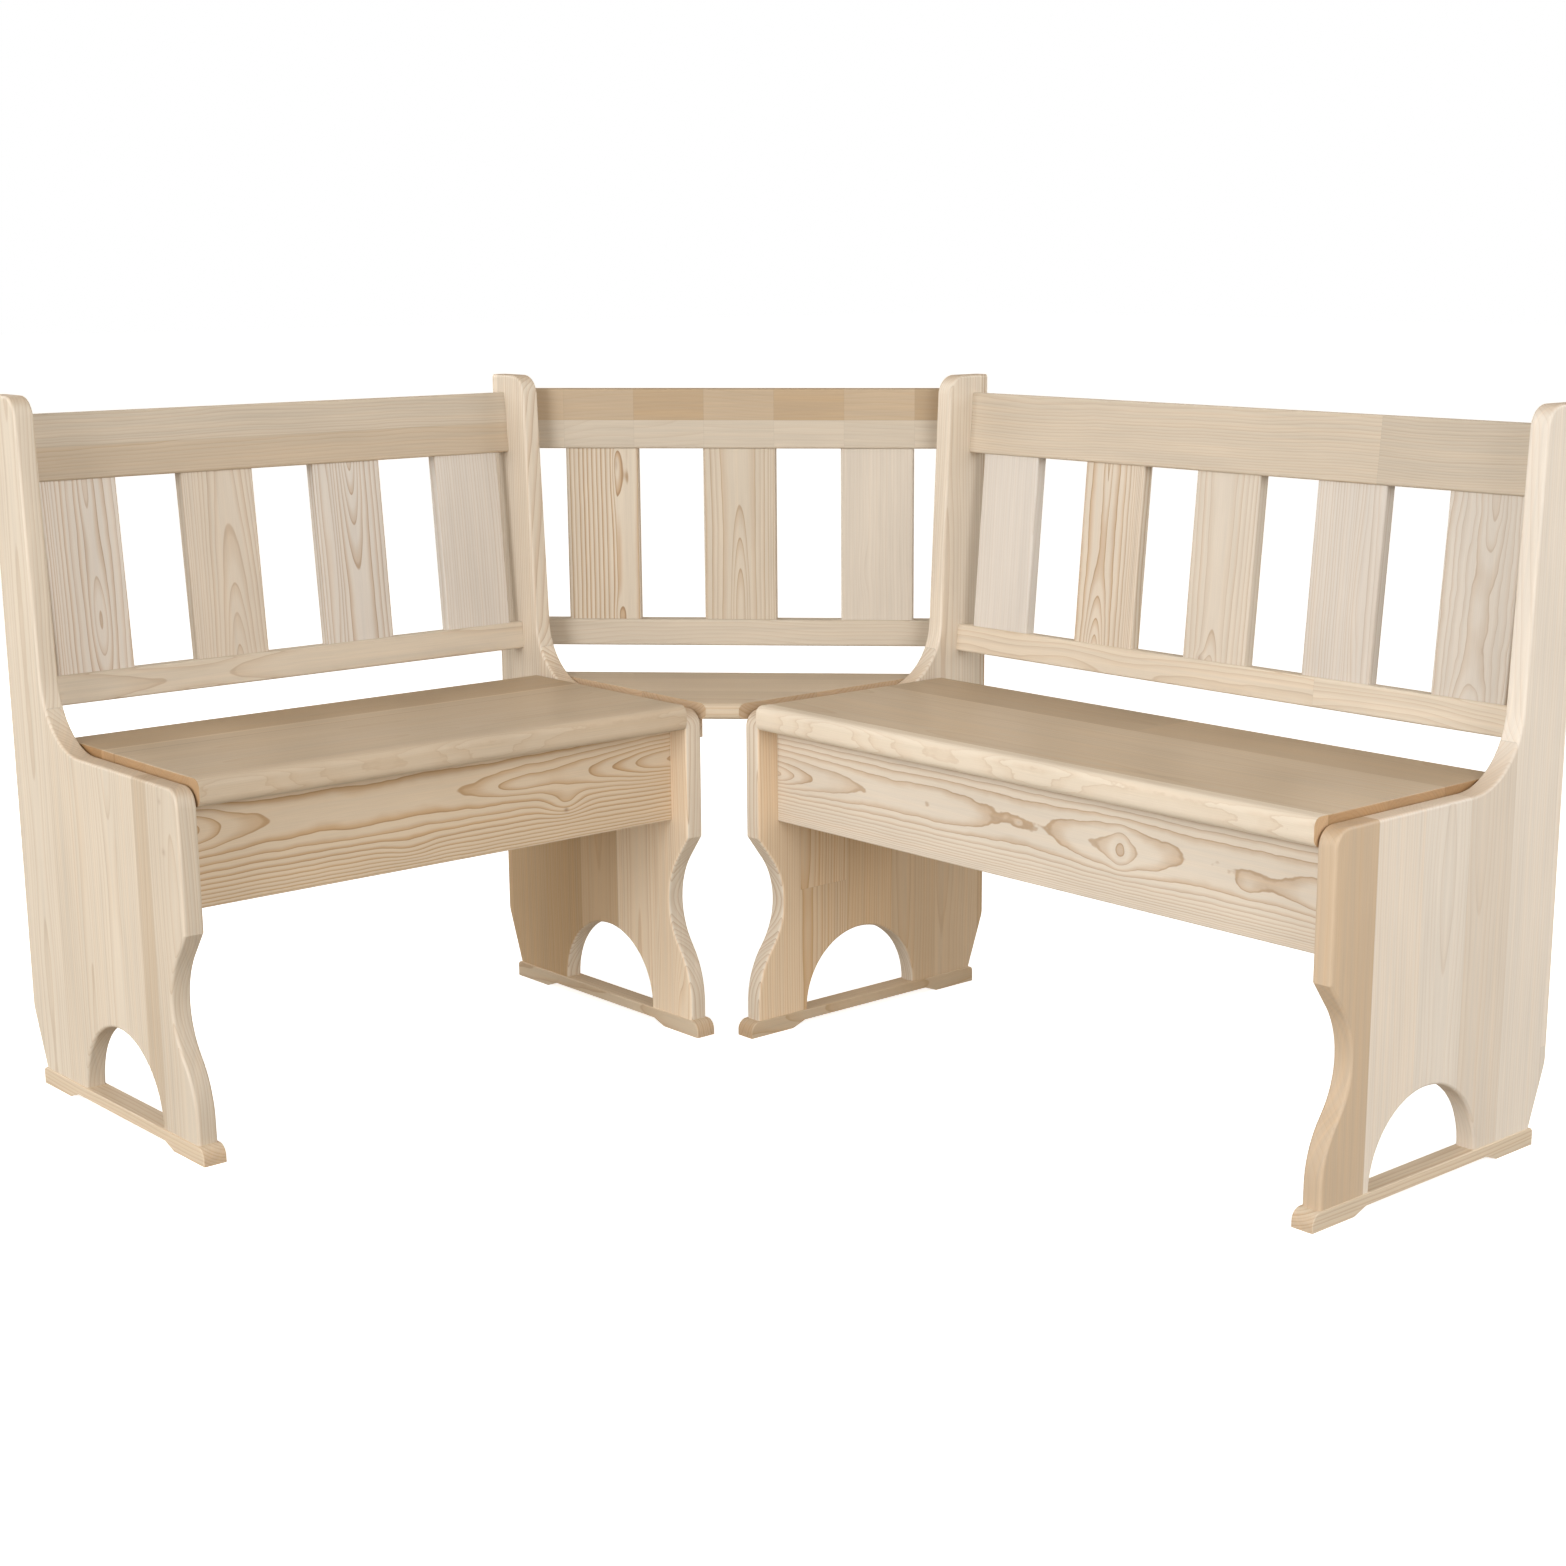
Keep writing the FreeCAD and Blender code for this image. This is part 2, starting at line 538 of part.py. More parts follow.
def lid(clear_width):
    """The hinged seat: board, doubled front lipping, battens, hinge leaves and screws."""
    x0 = NEAR_FACE + LID_SIDE_GAP
    x1 = NEAR_FACE + clear_width - LID_SIDE_GAP
    joint = LID_FRONT - LIPPING_DEPTH
    seat = board(x0, x1, SEAT_REAR_DEPTH, joint, LID_UNDERSIDE, SEAT_HEIGHT)
    seat = round_edges(seat, LID_EDGE_RADIUS, lambda direction, middle:
                       middle.z > SEAT_HEIGHT - 0.01 and -middle.y < joint - 0.01)
    lipping = board(x0, x1, joint, LID_FRONT, SEAT_HEIGHT - LIPPING_HEIGHT, SEAT_HEIGHT)
    lipping = round_edges(lipping, LIPPING_RADIUS, lambda direction, middle:
                          abs(direction.x) > 0.99 and -middle.y > LID_FRONT - 0.01)
    battens, batten_heads = lid_battens(clear_width)
    leaf_places = hinge_screw_places(clear_width, LEAF_START + LID_SCREW_HEIGHT)
    up, back = Vector(0, 0, 1), Vector(0, -1, 0)
    screws = [screw(place, up, BATTEN_SCREW_LENGTH) for place in batten_heads]
    screws += [screw(place, back, HINGE_SCREW_LENGTH) for place in leaf_places]
    holes = [screw_hole(place, up, BATTEN_SCREW_LENGTH) for place in batten_heads]
    holes += [screw_hole(place, back, HINGE_SCREW_LENGTH) for place in leaf_places]
    leaves = [hinge_leaf(centre, knuckle_spans(centre)[1], 1, LID_LEAF_HEIGHT, leaf_places)
              for centre in hinge_places(clear_width)]
    return {
        "lid_board": seat.cut(holes),
        "lid_lipping": lipping,
        "lid_battens": [batten.cut(holes) for batten in battens],
        "lid_hinge_leaves": leaves,
        "lid_screws": screws,
    }


def chest(clear_width):
    """The storage chest between the panels: apron, back, bottom on cleats, fixed hinge leaves."""
    x0, x1 = NEAR_FACE, NEAR_FACE + clear_width
    apron = board(x0, x1, APRON_REAR, APRON_FRONT, APRON_BOTTOM, CHEST_TOP)
    apron = round_edges(apron, APRON_EDGE_RADIUS, lambda direction, middle:
                        abs(direction.x) > 0.99 and middle.z < APRON_BOTTOM + 0.01)
    back = board(x0, x1, SEAT_REAR_DEPTH, CHEST_BACK_FRONT, APRON_BOTTOM, CHEST_TOP)
    rear_cleat = board(x0, x1, CHEST_BACK_FRONT, CHEST_BACK_FRONT + CLEAT_SIZE, CLEAT_BOTTOM, CLEAT_TOP)
    front_cleat = board(x0, x1, APRON_REAR - CLEAT_SIZE, APRON_REAR, CLEAT_BOTTOM, CLEAT_TOP)
    bottom = board(x0 + CHEST_BOTTOM_GAP, x1 - CHEST_BOTTOM_GAP, CHEST_BACK_FRONT + CHEST_BOTTOM_GAP,
                   APRON_REAR - CHEST_BOTTOM_GAP, CLEAT_TOP, CLEAT_TOP + CHEST_BOTTOM_THICKNESS)
    leaf_places = hinge_screw_places(clear_width, -LEAF_START - FIXED_LEAF_HEIGHT / 2)
    screw_rows = spread((x0 + x1) / 2, x1 - x0 - 2 * CLEAT_SCREW_INSET, CLEAT_SCREWS)
    to_front, to_rear = Vector(0, -1, 0), Vector(0, 1, 0)
    front_heads = [Vector(x, -(APRON_REAR - CLEAT_SIZE), CLEAT_MIDDLE) for x in screw_rows]
    rear_heads = [Vector(x, -(CHEST_BACK_FRONT + CLEAT_SIZE), CLEAT_MIDDLE) for x in screw_rows]
    calls = [(place, to_front, HINGE_SCREW_LENGTH) for place in leaf_places]
    calls += [(place, to_front, CLEAT_SCREW_LENGTH) for place in front_heads]
    calls += [(place, to_rear, CLEAT_SCREW_LENGTH) for place in rear_heads]
    holes = [screw_hole(*call) for call in calls]
    dowel_holes = bench_dowels(clear_width, dowel_hole)
    leaves = [hinge_leaf(centre, knuckle_spans(centre)[0], -1, FIXED_LEAF_HEIGHT, leaf_places)
              for centre in hinge_places(clear_width)]
    return {
        "apron": apron.cut(holes + dowel_holes),
        "chest_back": back.cut(holes + dowel_holes),
        "chest_bottom": bottom,
        "chest_cleats": [rear_cleat.cut(holes), front_cleat.cut(holes)],
        "chest_hinge_leaves": leaves,
        "hinge_pins": [hinge_pin(centre) for centre in hinge_places(clear_width)],
        "chest_screws": [screw(*call) for call in calls],
    }


def bench_back(clear_width, slat_count, slat_end_gap):
    """The leaning back of a bench between its panels."""
    lower_top = RAIL_TOP - (RAIL_TOP - LOWER_RAIL_TOP) / math.cos(math.radians(BACK_LEAN))
    slat_span = clear_width - 2 * slat_end_gap
    top_rail, lower_rail, slats = back_boards(NEAR_FACE + clear_width / 2, clear_width, slat_count,
                                              slat_span, RAIL_TOP_DEPTH, RAIL_TOP, lower_top)
    dowel_holes = bench_dowels(clear_width, dowel_hole)
    parts = {
        "top_rail": lean_back(top_rail).cut(dowel_holes),
        "lower_rail": lean_back(lower_rail).cut(dowel_holes),
    }
    for number, slat in enumerate(slats, 1):
        parts["slat_%d" % number] = lean_back(slat)
    return parts


def foot_screw_calls(panel_x):
    """Screws sunk in a runner's pads and driven up into the panel."""
    calls = []
    for depth in (FOOT_REAR + FOOT_SCREW_INSET, FOOT_FRONT - FOOT_SCREW_INSET):
        head = Vector(panel_x + PANEL_THICKNESS / 2, -depth, FOOT_SCREW_SINK)
        calls.append((head, Vector(0, 0, 1), FOOT_SCREW_LENGTH))
    return calls


def counterbore(head):
    """The round hole from the floor up to the head of a foot screw."""
    return Part.makeCylinder(COUNTERBORE_RADIUS, FOOT_SCREW_SINK, Vector(head.x, head.y, 0))


def bench(clear_width, slat_count, slat_end_gap):
    """All parts of one bench, in the place of the right one."""
    parts = {}
    panel_places = {"corner_panel": CORNER_REACH, "end_panel": NEAR_FACE + clear_width}
    cutters = bench_dowels(clear_width, dowel_hole) + corner_cutters()
    foot_screws = []
    for name, x in panel_places.items():
        calls = foot_screw_calls(x)
        foot_holes = [screw_hole(*call) for call in calls] + [counterbore(call[0]) for call in calls]
        parts[name] = side_panel(x).cut(cutters + foot_holes)
        parts[name.replace("panel", "foot")] = foot_runner(x).cut(foot_holes)
        foot_screws += [screw(*call) for call in calls]
    parts["foot_screws"] = foot_screws
    parts["dowels"] = bench_dowels(clear_width)
    parts.update(bench_back(clear_width, slat_count, slat_end_gap))
    parts.update(chest(clear_width))
    parts.update(lid(clear_width))
    return parts


def turn_to_corner(shape):
    """Turn a shape built along the wall, whose depth is its distance from the corner, to 45 degrees."""
    return shape.rotate(Vector(0, 0, 0), Vector(0, 0, 1), CORNER_TURN)


def trim_to_corner(shape, gap=0.0):
    """Mitre the ends of a turned board on the outer faces of the two corner panels."""
    reach = CORNER_REACH - gap
    return shape.common(Part.makeBox(reach, reach, TOTAL_HEIGHT, Vector(0, -reach, 0)))


def mirrored(shape):
    """The same shape on the other side of the plane that halves the room corner."""
    return shape.mirror(Vector(0, 0, 0), Vector(1, 1, 0))


def corner_dowel_depth(diagonal_front, diagonal_rear):
    """Depth of a dowel square to the corner panel that stays inside a turned board all its length."""
    end_middle = DIAGONAL * (diagonal_front + diagonal_rear) / 2 - CORNER_REACH
    return end_middle + (DOWEL_LENGTH - DOWEL_IN_PANEL) / 2


def corner_dowel_spots():
    rail_depth = corner_dowel_depth(CORNER_BACK_FRONT, CORNER_BACK_REAR)
    top_middle = CORNER_RAIL_TOP - TOP_RAIL_HEIGHT / 2
    spots = [(rail_depth, height) for height in spread(top_middle, RAIL_DOWEL_SPREAD, RAIL_DOWELS)]
    spots.append((rail_depth, LOWER_RAIL_TOP - LOWER_RAIL_HEIGHT / 2))
    batten_depth = corner_dowel_depth(CORNER_BATTEN_FRONT, CORNER_BATTEN_REAR)
    spots.append((batten_depth, CORNER_SEAT_UNDERSIDE - CORNER_BATTEN_HEIGHT / 2))
    return spots


def corner_cleat_span():
    """Depths where the cleat on the corner panel starts and ends."""
    inner_face = CORNER_REACH - CORNER_CLEAT_THICKNESS
    rear = DIAGONAL * CORNER_BATTEN_FRONT - inner_face + CORNER_SEAT_GAP
    return rear, PANEL_DEPTH - CORNER_CLEAT_FRONT_GAP


def corner_screw_calls():
    """Screws on the right-hand side: cleat to panel, then cleat to seat from below."""
    rear, front = corner_cleat_span()
    inner_face = CORNER_REACH - CORNER_CLEAT_THICKNESS
    middle_x = CORNER_REACH - CORNER_CLEAT_THICKNESS / 2
    rows = spread((rear + front) / 2, front - rear - 2 * SCREW_ROW_INSET, CORNER_CLEAT_SCREWS)
    between = [(low + high) / 2 for low, high in zip(rows, rows[1:])]
    height = CORNER_CLEAT_BOTTOM + CORNER_CLEAT_HEIGHT / 2
    calls = [(Vector(inner_face, -depth, height), Vector(1, 0, 0), CORNER_CLEAT_SCREW_LENGTH)
             for depth in rows]
    calls += [(Vector(middle_x, -depth, CORNER_CLEAT_BOTTOM), Vector(0, 0, 1), CORNER_SEAT_SCREW_LENGTH)
              for depth in between]
    return calls


def corner_cutters():
    """Holes for the corner's dowels and screws on its right-hand side."""
    holes = [dowel_hole(CORNER_REACH, depth, height, 1) for depth, height in corner_dowel_spots()]
    return holes + [screw_hole(*call) for call in corner_screw_calls()]


def both_sides(shapes):
    return shapes + [mirrored(shape) for shape in shapes]


def corner():
    """The corner back and the corner seat, between the outer faces of the two corner panels."""
    holes = both_sides(corner_cutters())
    slat_span = CORNER_BACK_WIDTH - 2 * CORNER_SLAT_END_GAP
    top_rail, lower_rail, slats = back_boards(0, 2 * CORNER_REACH, CORNER_SLATS, slat_span,
                                              CORNER_BACK_FRONT, CORNER_RAIL_TOP, LOWER_RAIL_TOP)
    seat = board(-CORNER_REACH, CORNER_REACH, CORNER_SEAT_REAR, CORNER_SEAT_FRONT,
                 CORNER_SEAT_UNDERSIDE, SEAT_HEIGHT)
    seat = round_edges(seat, CORNER_NOSE_RADIUS, lambda direction, middle:
                       abs(direction.x) > 0.99 and -middle.y > CORNER_SEAT_FRONT - 0.01)
    batten = board(-CORNER_REACH, CORNER_REACH, CORNER_BATTEN_REAR, CORNER_BATTEN_FRONT,
                   CORNER_SEAT_UNDERSIDE - CORNER_BATTEN_HEIGHT, CORNER_SEAT_UNDERSIDE)
    rear, front = corner_cleat_span()
    cleat = board(CORNER_REACH - CORNER_CLEAT_THICKNESS, CORNER_REACH, rear, front,
                  CORNER_CLEAT_BOTTOM, CORNER_SEAT_UNDERSIDE)
    dowels = [dowel(CORNER_REACH, depth, height, 1) for depth, height in corner_dowel_spots()]
    screws = [screw(*call) for call in corner_screw_calls()]
    parts = {
        "top_rail": trim_to_corner(turn_to_corner(top_rail)).cut(holes),
        "lower_rail": trim_to_corner(turn_to_corner(lower_rail)).cut(holes),
        "seat": trim_to_corner(turn_to_corner(seat), CORNER_SEAT_GAP).cut(holes),
        "rear_batten": trim_to_corner(turn_to_corner(batten)).cut(holes),
        "cleats": [piece.cut(holes) for piece in both_sides([cleat])],
        "dowels": both_sides(dowels),
        "screws": both_sides(screws),
    }
    for number, slat in enumerate(slats, 1):
        parts["slat_%d" % number] = turn_to_corner(slat)
    return parts


def export(name, shapes):
    """Write one node, moved so that the origin is under the middle of the whole bench."""
    solids = shapes if isinstance(shapes, list) else [shapes]
    node = Part.makeCompound(solids) if len(solids) > 1 else solids[0]
    node.translate(Vector(-BENCH_LENGTH / 2, SIDE_LENGTH / 2, 0))
    node.exportStep("parts/%s.step" % name)


os.makedirs("parts", exist_ok=True)
for part_name, part in bench(RIGHT_CLEAR_WIDTH, RIGHT_SLATS, RIGHT_SLAT_END_GAP).items():
    export("right_" + part_name, part)
for part_name, part in bench(LEFT_CLEAR_WIDTH, LEFT_SLATS, LEFT_SLAT_END_GAP).items():
    pieces = part if isinstance(part, list) else [part]
    export("left_" + part_name, [mirrored(piece) for piece in pieces])
for part_name, part in corner().items():
    export("corner_" + part_name, part)
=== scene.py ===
import math

import bpy
from mathutils import Matrix, Vector


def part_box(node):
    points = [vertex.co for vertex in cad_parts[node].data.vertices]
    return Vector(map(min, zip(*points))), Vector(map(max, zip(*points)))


# The looks of the corner storage bench: pine boards glued from strips, with a thin satin finish.
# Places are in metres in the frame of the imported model. Figures of the grain, such as knots and
# flames, are given in millimetres from the middle of their board, along the grain and across it.

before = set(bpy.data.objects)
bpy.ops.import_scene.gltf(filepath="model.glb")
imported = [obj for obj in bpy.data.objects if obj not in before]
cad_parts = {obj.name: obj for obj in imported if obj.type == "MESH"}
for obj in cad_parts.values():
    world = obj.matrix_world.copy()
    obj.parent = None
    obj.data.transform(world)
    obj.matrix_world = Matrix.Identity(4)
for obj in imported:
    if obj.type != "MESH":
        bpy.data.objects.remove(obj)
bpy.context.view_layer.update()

MM = 0.001

# Directions of the boards. The long bench runs along X, the short one along Y, and the corner's
# boards run along the diagonal between them.
X = Vector((1, 0, 0))
Y = Vector((0, 1, 0))
Z = Vector((0, 0, 1))
DIAGONAL = Vector((1, 1, 0)).normalized()
OUTWARD = Vector((1, -1, 0)).normalized()
BACK_LEAN = math.radians(4.7)

# The side panels are glued from strips of this width in millimetres, with a narrower one in front
PANEL_STRIP = 86.0
PANEL_FRONT_STRIP = 76.0
PANEL_HALF_DEPTH = 215.0

# How far the visible face of a board lies from its middle, in millimetres through the board
APRON_FACE = 10.0
SLAT_FACE = -9.0

# Camera, fitted to the photograph's 1566 by 1566 pixels
IMAGE_SIZE = 1566
FOCAL_PIXELS = 2529.5
CENTRE_PIXEL = (841.6, 839.8)
SENSOR_WIDTH = 36.0
CAMERA_PLACE = Vector((2.3256, -1.9527, 1.0551))
CAMERA_TURN = math.radians(48.05)
CAMERA_PITCH = math.radians(13.11)
CAMERA_ROLL = math.radians(-0.143)

# The studio: how far the floor reaches, where the wall round it starts, the even glow, and the lamps
# with their places, widths in metres and powers in watts
STAGE_REACH = 30.0
WALL_FOOT = -0.1
FLOOR_BRIGHTNESS = 0.80
FLOOR_GLOW = 0.78
AMBIENT = 0.38
AMBIENT_COLOUR = (1.0, 0.88, 0.73)
LAMP_TARGET = Vector((0, 0, 0.4))
LAMPS = [
    ("right_light", (4.9, -0.6, 1.9), 3.2, 126.0),
    ("left_light", (0.0, -5.4, 1.9), 3.6, 232.0),
    ("rear_right_light", (2.0, 3.6, 2.4), 2.4, 44.0),
    ("rear_left_light", (-3.6, -0.6, 2.4), 2.4, 44.0),
]

# Colours of pine, the last two as factors
EARLY_WOOD = (0.790, 0.690, 0.555)
LATE_WOOD = (0.590, 0.410, 0.250)
RING_LINE = (0.420, 0.265, 0.140)
WARM_WOOD = (0.610, 0.392, 0.180)
KNOT_HEART = (0.250, 0.120, 0.050)
END_GRAIN = (0.770, 0.610, 0.450)
COOL_TINT = (0.945, 1.010, 1.150)

# Zinc-plated steel: the two colours of its blotches, their waves per metre, and its roughness
STEEL_DARK = (0.50, 0.50, 0.49)
STEEL_LIGHT = (0.66, 0.65, 0.61)
STEEL_BLOTCHES = 180.0
STEEL_ROUGHNESS = 0.36
STEEL_ROUGHNESS_CHANGE = 0.25

# Patterns of the wood, in waves per metre along the grain and across it
FIBRES = (16.0, 800.0)
STREAKS = (2.5, 130.0)
CLOUDS = (5.0, 16.0)

# Waves per metre in which the pith strays in depth and sideways
DRIFT_IN_DEPTH = 2.6
DRIFT_SIDEWAYS = 1.7

# Where the late wood and its dark line come and go within a year ring, which runs from 0 to 1
LATE_COMES, LATE_GOES = (0.35, 0.92), (1.0, 0.95)
LINE_COMES, LINE_GOES = (0.84, 0.94), (1.0, 0.96)

# How strongly the parts of the pattern show in colour, roughness and relief. The width of the glue
# and the height of the relief are in millimetres.
LATE_SHARE = 0.9
LINE_SHARE = 0.8
STREAK_WARMTH = 0.18
CLOUD_TONE = 0.10
FIBRE_TONE = 0.10
GLUE_TONE = 0.88
GLUE_WIDTH = 0.5
MEAN_ROUGHNESS = 0.52
FIBRE_ROUGHNESS = 0.16
RELIEF_STRENGTH = 0.3
RELIEF_HEIGHT = 0.3


class Nodes:
    """A node tree with short calls for the few kinds of node that the materials use."""

    def __init__(self, tree):
        self.tree = tree

    def add(self, kind, **settings):
        node = self.tree.nodes.new(kind)
        for name, value in settings.items():
            setattr(node, name, value)
        return node

    def feed(self, socket, value):
        """Link a socket to another one, or give it a fixed value."""
        if isinstance(value, bpy.types.NodeSocket):
            self.tree.links.new(value, socket)
        else:
            socket.default_value = value

    def maths(self, operation, first, second=0.0, third=0.0):
        node = self.add("ShaderNodeMath", operation=operation)
        for socket, value in zip(node.inputs, (first, second, third)):
            self.feed(socket, value)
        return node.outputs[0]

    def times(self, first, second):
        return self.maths("MULTIPLY", first, second)

    def over(self, first, second):
        return self.maths("DIVIDE", first, second)

    def plus(self, first, second):
        return self.maths("ADD", first, second)

    def minus(self, first, second):
        return self.maths("SUBTRACT", first, second)

    def times_plus(self, first, second, third):
        """The first times the second, plus the third."""
        return self.maths("MULTIPLY_ADD", first, second, third)

    def vector(self, operation, first, second):
        node = self.add("ShaderNodeVectorMath", operation=operation)
        self.feed(node.inputs[0], first)
        self.feed(node.inputs[1], second)
        return node.outputs["Value"] if operation == "DOT_PRODUCT" else node.outputs["Vector"]

    def join(self, x, y, z=0.0):
        node = self.add("ShaderNodeCombineXYZ")
        for socket, value in zip(node.inputs, (x, y, z)):
            self.feed(socket, value)
        return node.outputs[0]

    def split(self, vector):
        node = self.add("ShaderNodeSeparateXYZ")
        self.feed(node.inputs[0], vector)
        return node.outputs

    def noise(self, x, y=None, detail=1.0, roughness=0.5):
        """Smooth noise about zero, from -0.5 to 0.5, along a line or over a plane."""
        if y is None:
            node = self.add("ShaderNodeTexNoise", noise_dimensions="1D")
            self.feed(node.inputs["W"], x)
        else:
            node = self.add("ShaderNodeTexNoise", noise_dimensions="2D")
            self.feed(node.inputs["Vector"], self.join(x, y))
        self.feed(node.inputs["Scale"], 1.0)
        self.feed(node.inputs["Detail"], detail)
        self.feed(node.inputs["Roughness"], roughness)
        return self.minus(node.outputs["Fac"], 0.5)

    def dice(self, first, second, third):
        """Three chance numbers from 0 to 1 that belong to these three numbers."""
        node = self.add("ShaderNodeTexWhiteNoise", noise_dimensions="3D")
        self.feed(node.inputs["Vector"], self.join(first, second, third))
        return self.split(node.outputs["Color"])

    def ramp(self, value, low, high, low_result=0.0, high_result=1.0, smooth=True):
        """From the low result to the high one, as the value goes from low to high."""
        node = self.add("ShaderNodeMapRange", interpolation_type="SMOOTHSTEP" if smooth else "LINEAR")
        for socket, item in zip(node.inputs, (value, low, high, low_result, high_result)):
            self.feed(socket, item)
        return node.outputs["Result"]

    def blend(self, share, first, second):
        """A colour between two, which is the second where the share is 1."""
        node = self.add("ShaderNodeMix", data_type="RGBA")
        self.feed(node.inputs["Factor"], share)
        colours = [socket for socket in node.inputs if socket.type == "RGBA"]
        for socket, value in zip(colours, (first, second)):
            self.feed(socket, value if isinstance(value, bpy.types.NodeSocket) else tuple(value) + (1.0,))
        return [socket for socket in node.outputs if socket.type == "RGBA"][0]


def new_group(name, inputs, outputs):
    """An empty node group with the given sockets, its Nodes helper and its two end nodes.

    Inputs are numbers with these defaults, or vectors where the default is None.
    """
    group = bpy.data.node_groups.new(name, "ShaderNodeTree")
    for label, default in inputs.items():
        if default is None:
            group.interface.new_socket(label, in_out="INPUT", socket_type="NodeSocketVector")
        else:
            socket = group.interface.new_socket(label, in_out="INPUT", socket_type="NodeSocketFloat")
            socket.default_value = default
    for label in outputs:
        kind = "NodeSocketColor" if label == "Color" else "NodeSocketFloat"
        group.interface.new_socket(label, in_out="OUTPUT", socket_type=kind)
    nodes = Nodes(group)
    return group, nodes, nodes.add("NodeGroupInput").outputs, nodes.add("NodeGroupOutput").inputs


def make_figure_group():
    """How far a knot or a flame pushes the year rings aside, and how near its middle is."""
    group, nodes, inputs, outputs = new_group(
        "grain_figure", {"Place": None, "Middle": None, "Length": 0.04, "Width": 0.02, "Push": 1.0},
        ("Push", "Near"))
    along, across, _ = nodes.split(nodes.vector("SUBTRACT", inputs["Place"], inputs["Middle"]))
    along = nodes.over(along, inputs["Length"])
    across = nodes.over(across, inputs["Width"])
    squares = nodes.times_plus(along, along, nodes.times(across, across))
    near = nodes.maths("EXPONENT", nodes.times(squares, -1.0))
    nodes.feed(outputs["Push"], nodes.times(near, inputs["Push"]))
    nodes.feed(outputs["Near"], near)
    return group


def make_pine_group():
    """Pine sawn from a log: year rings about a pith that wanders, glued strips, fibres and streaks.

    Place is measured along the grain, across it and through the board. Strip and Block are the width
    of a glued strip and the length of its blocks, the two Shifts and Stagger move them, and Strip Tone
    and Strip Figure say how unlike they are. Pith and Depth say where the middle of the log lies
    beside and behind the board, Spread how far that differs between strips, Slope how its depth
    changes along the grain and Wander how far it strays. Ring is the width of a year ring and Phase
    where the first one begins. Edge says how many rings crowd towards the board's long edges, at Half
    Width from its middle, Ripple and Uneven how far they stray, and Figure how strong they look. Push
    adds rings at knots. Streak, Warmth, Cool, Tone and End, the brown of end grain, set the colour.
    """
    group, nodes, inputs, outputs = new_group(
        "pine_wood",
        {"Place": None, "Normal": None, "Seed": 0.0, "Strip": 0.1, "Shift": 0.0, "Block": 10.0,
         "Block Shift": 0.0, "Stagger": 1.0, "Strip Tone": 0.1, "Strip Figure": 0.0, "Pith": 0.0,
         "Spread": 0.8, "Depth": 0.03, "Slope": 0.0, "Ring": 0.005, "Phase": 0.0, "Edge": 0.0,
         "Half Width": 0.07, "Wander": 0.02, "Ripple": 0.5, "Ripple Scale": 10.0, "Uneven": 0.7,
         "Figure": 0.6, "Push": 0.0, "Streak": 0.12, "Warmth": 0.0, "Cool": 0.1, "Tone": 1.0,
         "End": 0.4},
        ("Color", "Roughness", "Height"))
    along, across, through = nodes.split(inputs["Place"])

    # Which glued strip, and which block of it, each counted in whole numbers
    strip_place = nodes.plus(nodes.over(across, inputs["Strip"]), inputs["Shift"])
    strip = nodes.maths("FLOOR", strip_place)
    strip_chance = nodes.dice(strip, inputs["Seed"], 3.0)[0]
    block_place = nodes.plus(nodes.over(along, inputs["Block"]), inputs["Block Shift"])
    block_place = nodes.times_plus(strip_chance, inputs["Stagger"], block_place)
    block = nodes.maths("FLOOR", block_place)
    pith_chance, warm_chance, tone_chance = nodes.dice(strip, block, inputs["Seed"])

    # A number of the block's own, which sets its noise apart from the others'
    own = nodes.plus(nodes.times(tone_chance, 37.0), inputs["Seed"])

    # Year rings: distance from a pith line that wanders slowly along the strip
    drift_up = nodes.noise(nodes.times_plus(along, DRIFT_IN_DEPTH, own))
    drift_up = nodes.times(drift_up, inputs["Wander"])
    drift_side = nodes.noise(nodes.times_plus(along, DRIFT_SIDEWAYS, nodes.times(own, 3.1)))
    drift_side = nodes.times(drift_side, inputs["Wander"])
    local = nodes.times(nodes.minus(nodes.maths("FRACT", strip_place), 0.5), inputs["Strip"])
    spread = nodes.times(nodes.minus(pith_chance, 0.5), inputs["Strip"])
    spread = nodes.times(spread, inputs["Spread"])
    sideways = nodes.minus(nodes.minus(local, inputs["Pith"]), spread)
    near_edge = nodes.over(sideways, inputs["Half Width"])
    sideways = nodes.plus(sideways, drift_side)
    depth = nodes.plus(nodes.times_plus(along, inputs["Slope"], inputs["Depth"]), drift_up)
    below = nodes.plus(through, depth)
    radius = nodes.maths("SQRT", nodes.times_plus(sideways, sideways, nodes.times(below, below)))
    ring_place = nodes.over(nodes.minus(radius, inputs["Depth"]), inputs["Ring"])

    # Rings that crowd at the edges, ripple, go round knots and differ in width
    crowd = nodes.times(nodes.maths("POWER", nodes.maths("ABSOLUTE", near_edge), 4.0), inputs["Edge"])
    ripple_along = nodes.times_plus(along, inputs["Ripple Scale"], own)
    ripple_across = nodes.times(across, nodes.times(inputs["Ripple Scale"], 1.6))
    ripple = nodes.times(nodes.noise(ripple_along, ripple_across, 2.5, 0.6), inputs["Ripple"])
    for part in (crowd, ripple, inputs["Push"], inputs["Phase"]):
        ring_place = nodes.plus(ring_place, part)
    uneven = nodes.noise(nodes.times_plus(ring_place, 0.6, own), detail=0.0)
    ring_place = nodes.times_plus(uneven, inputs["Uneven"], ring_place)
    ring = nodes.maths("FRACT", ring_place)
    ring_chance = nodes.dice(nodes.maths("FLOOR", ring_place), own, 1.0)[0]

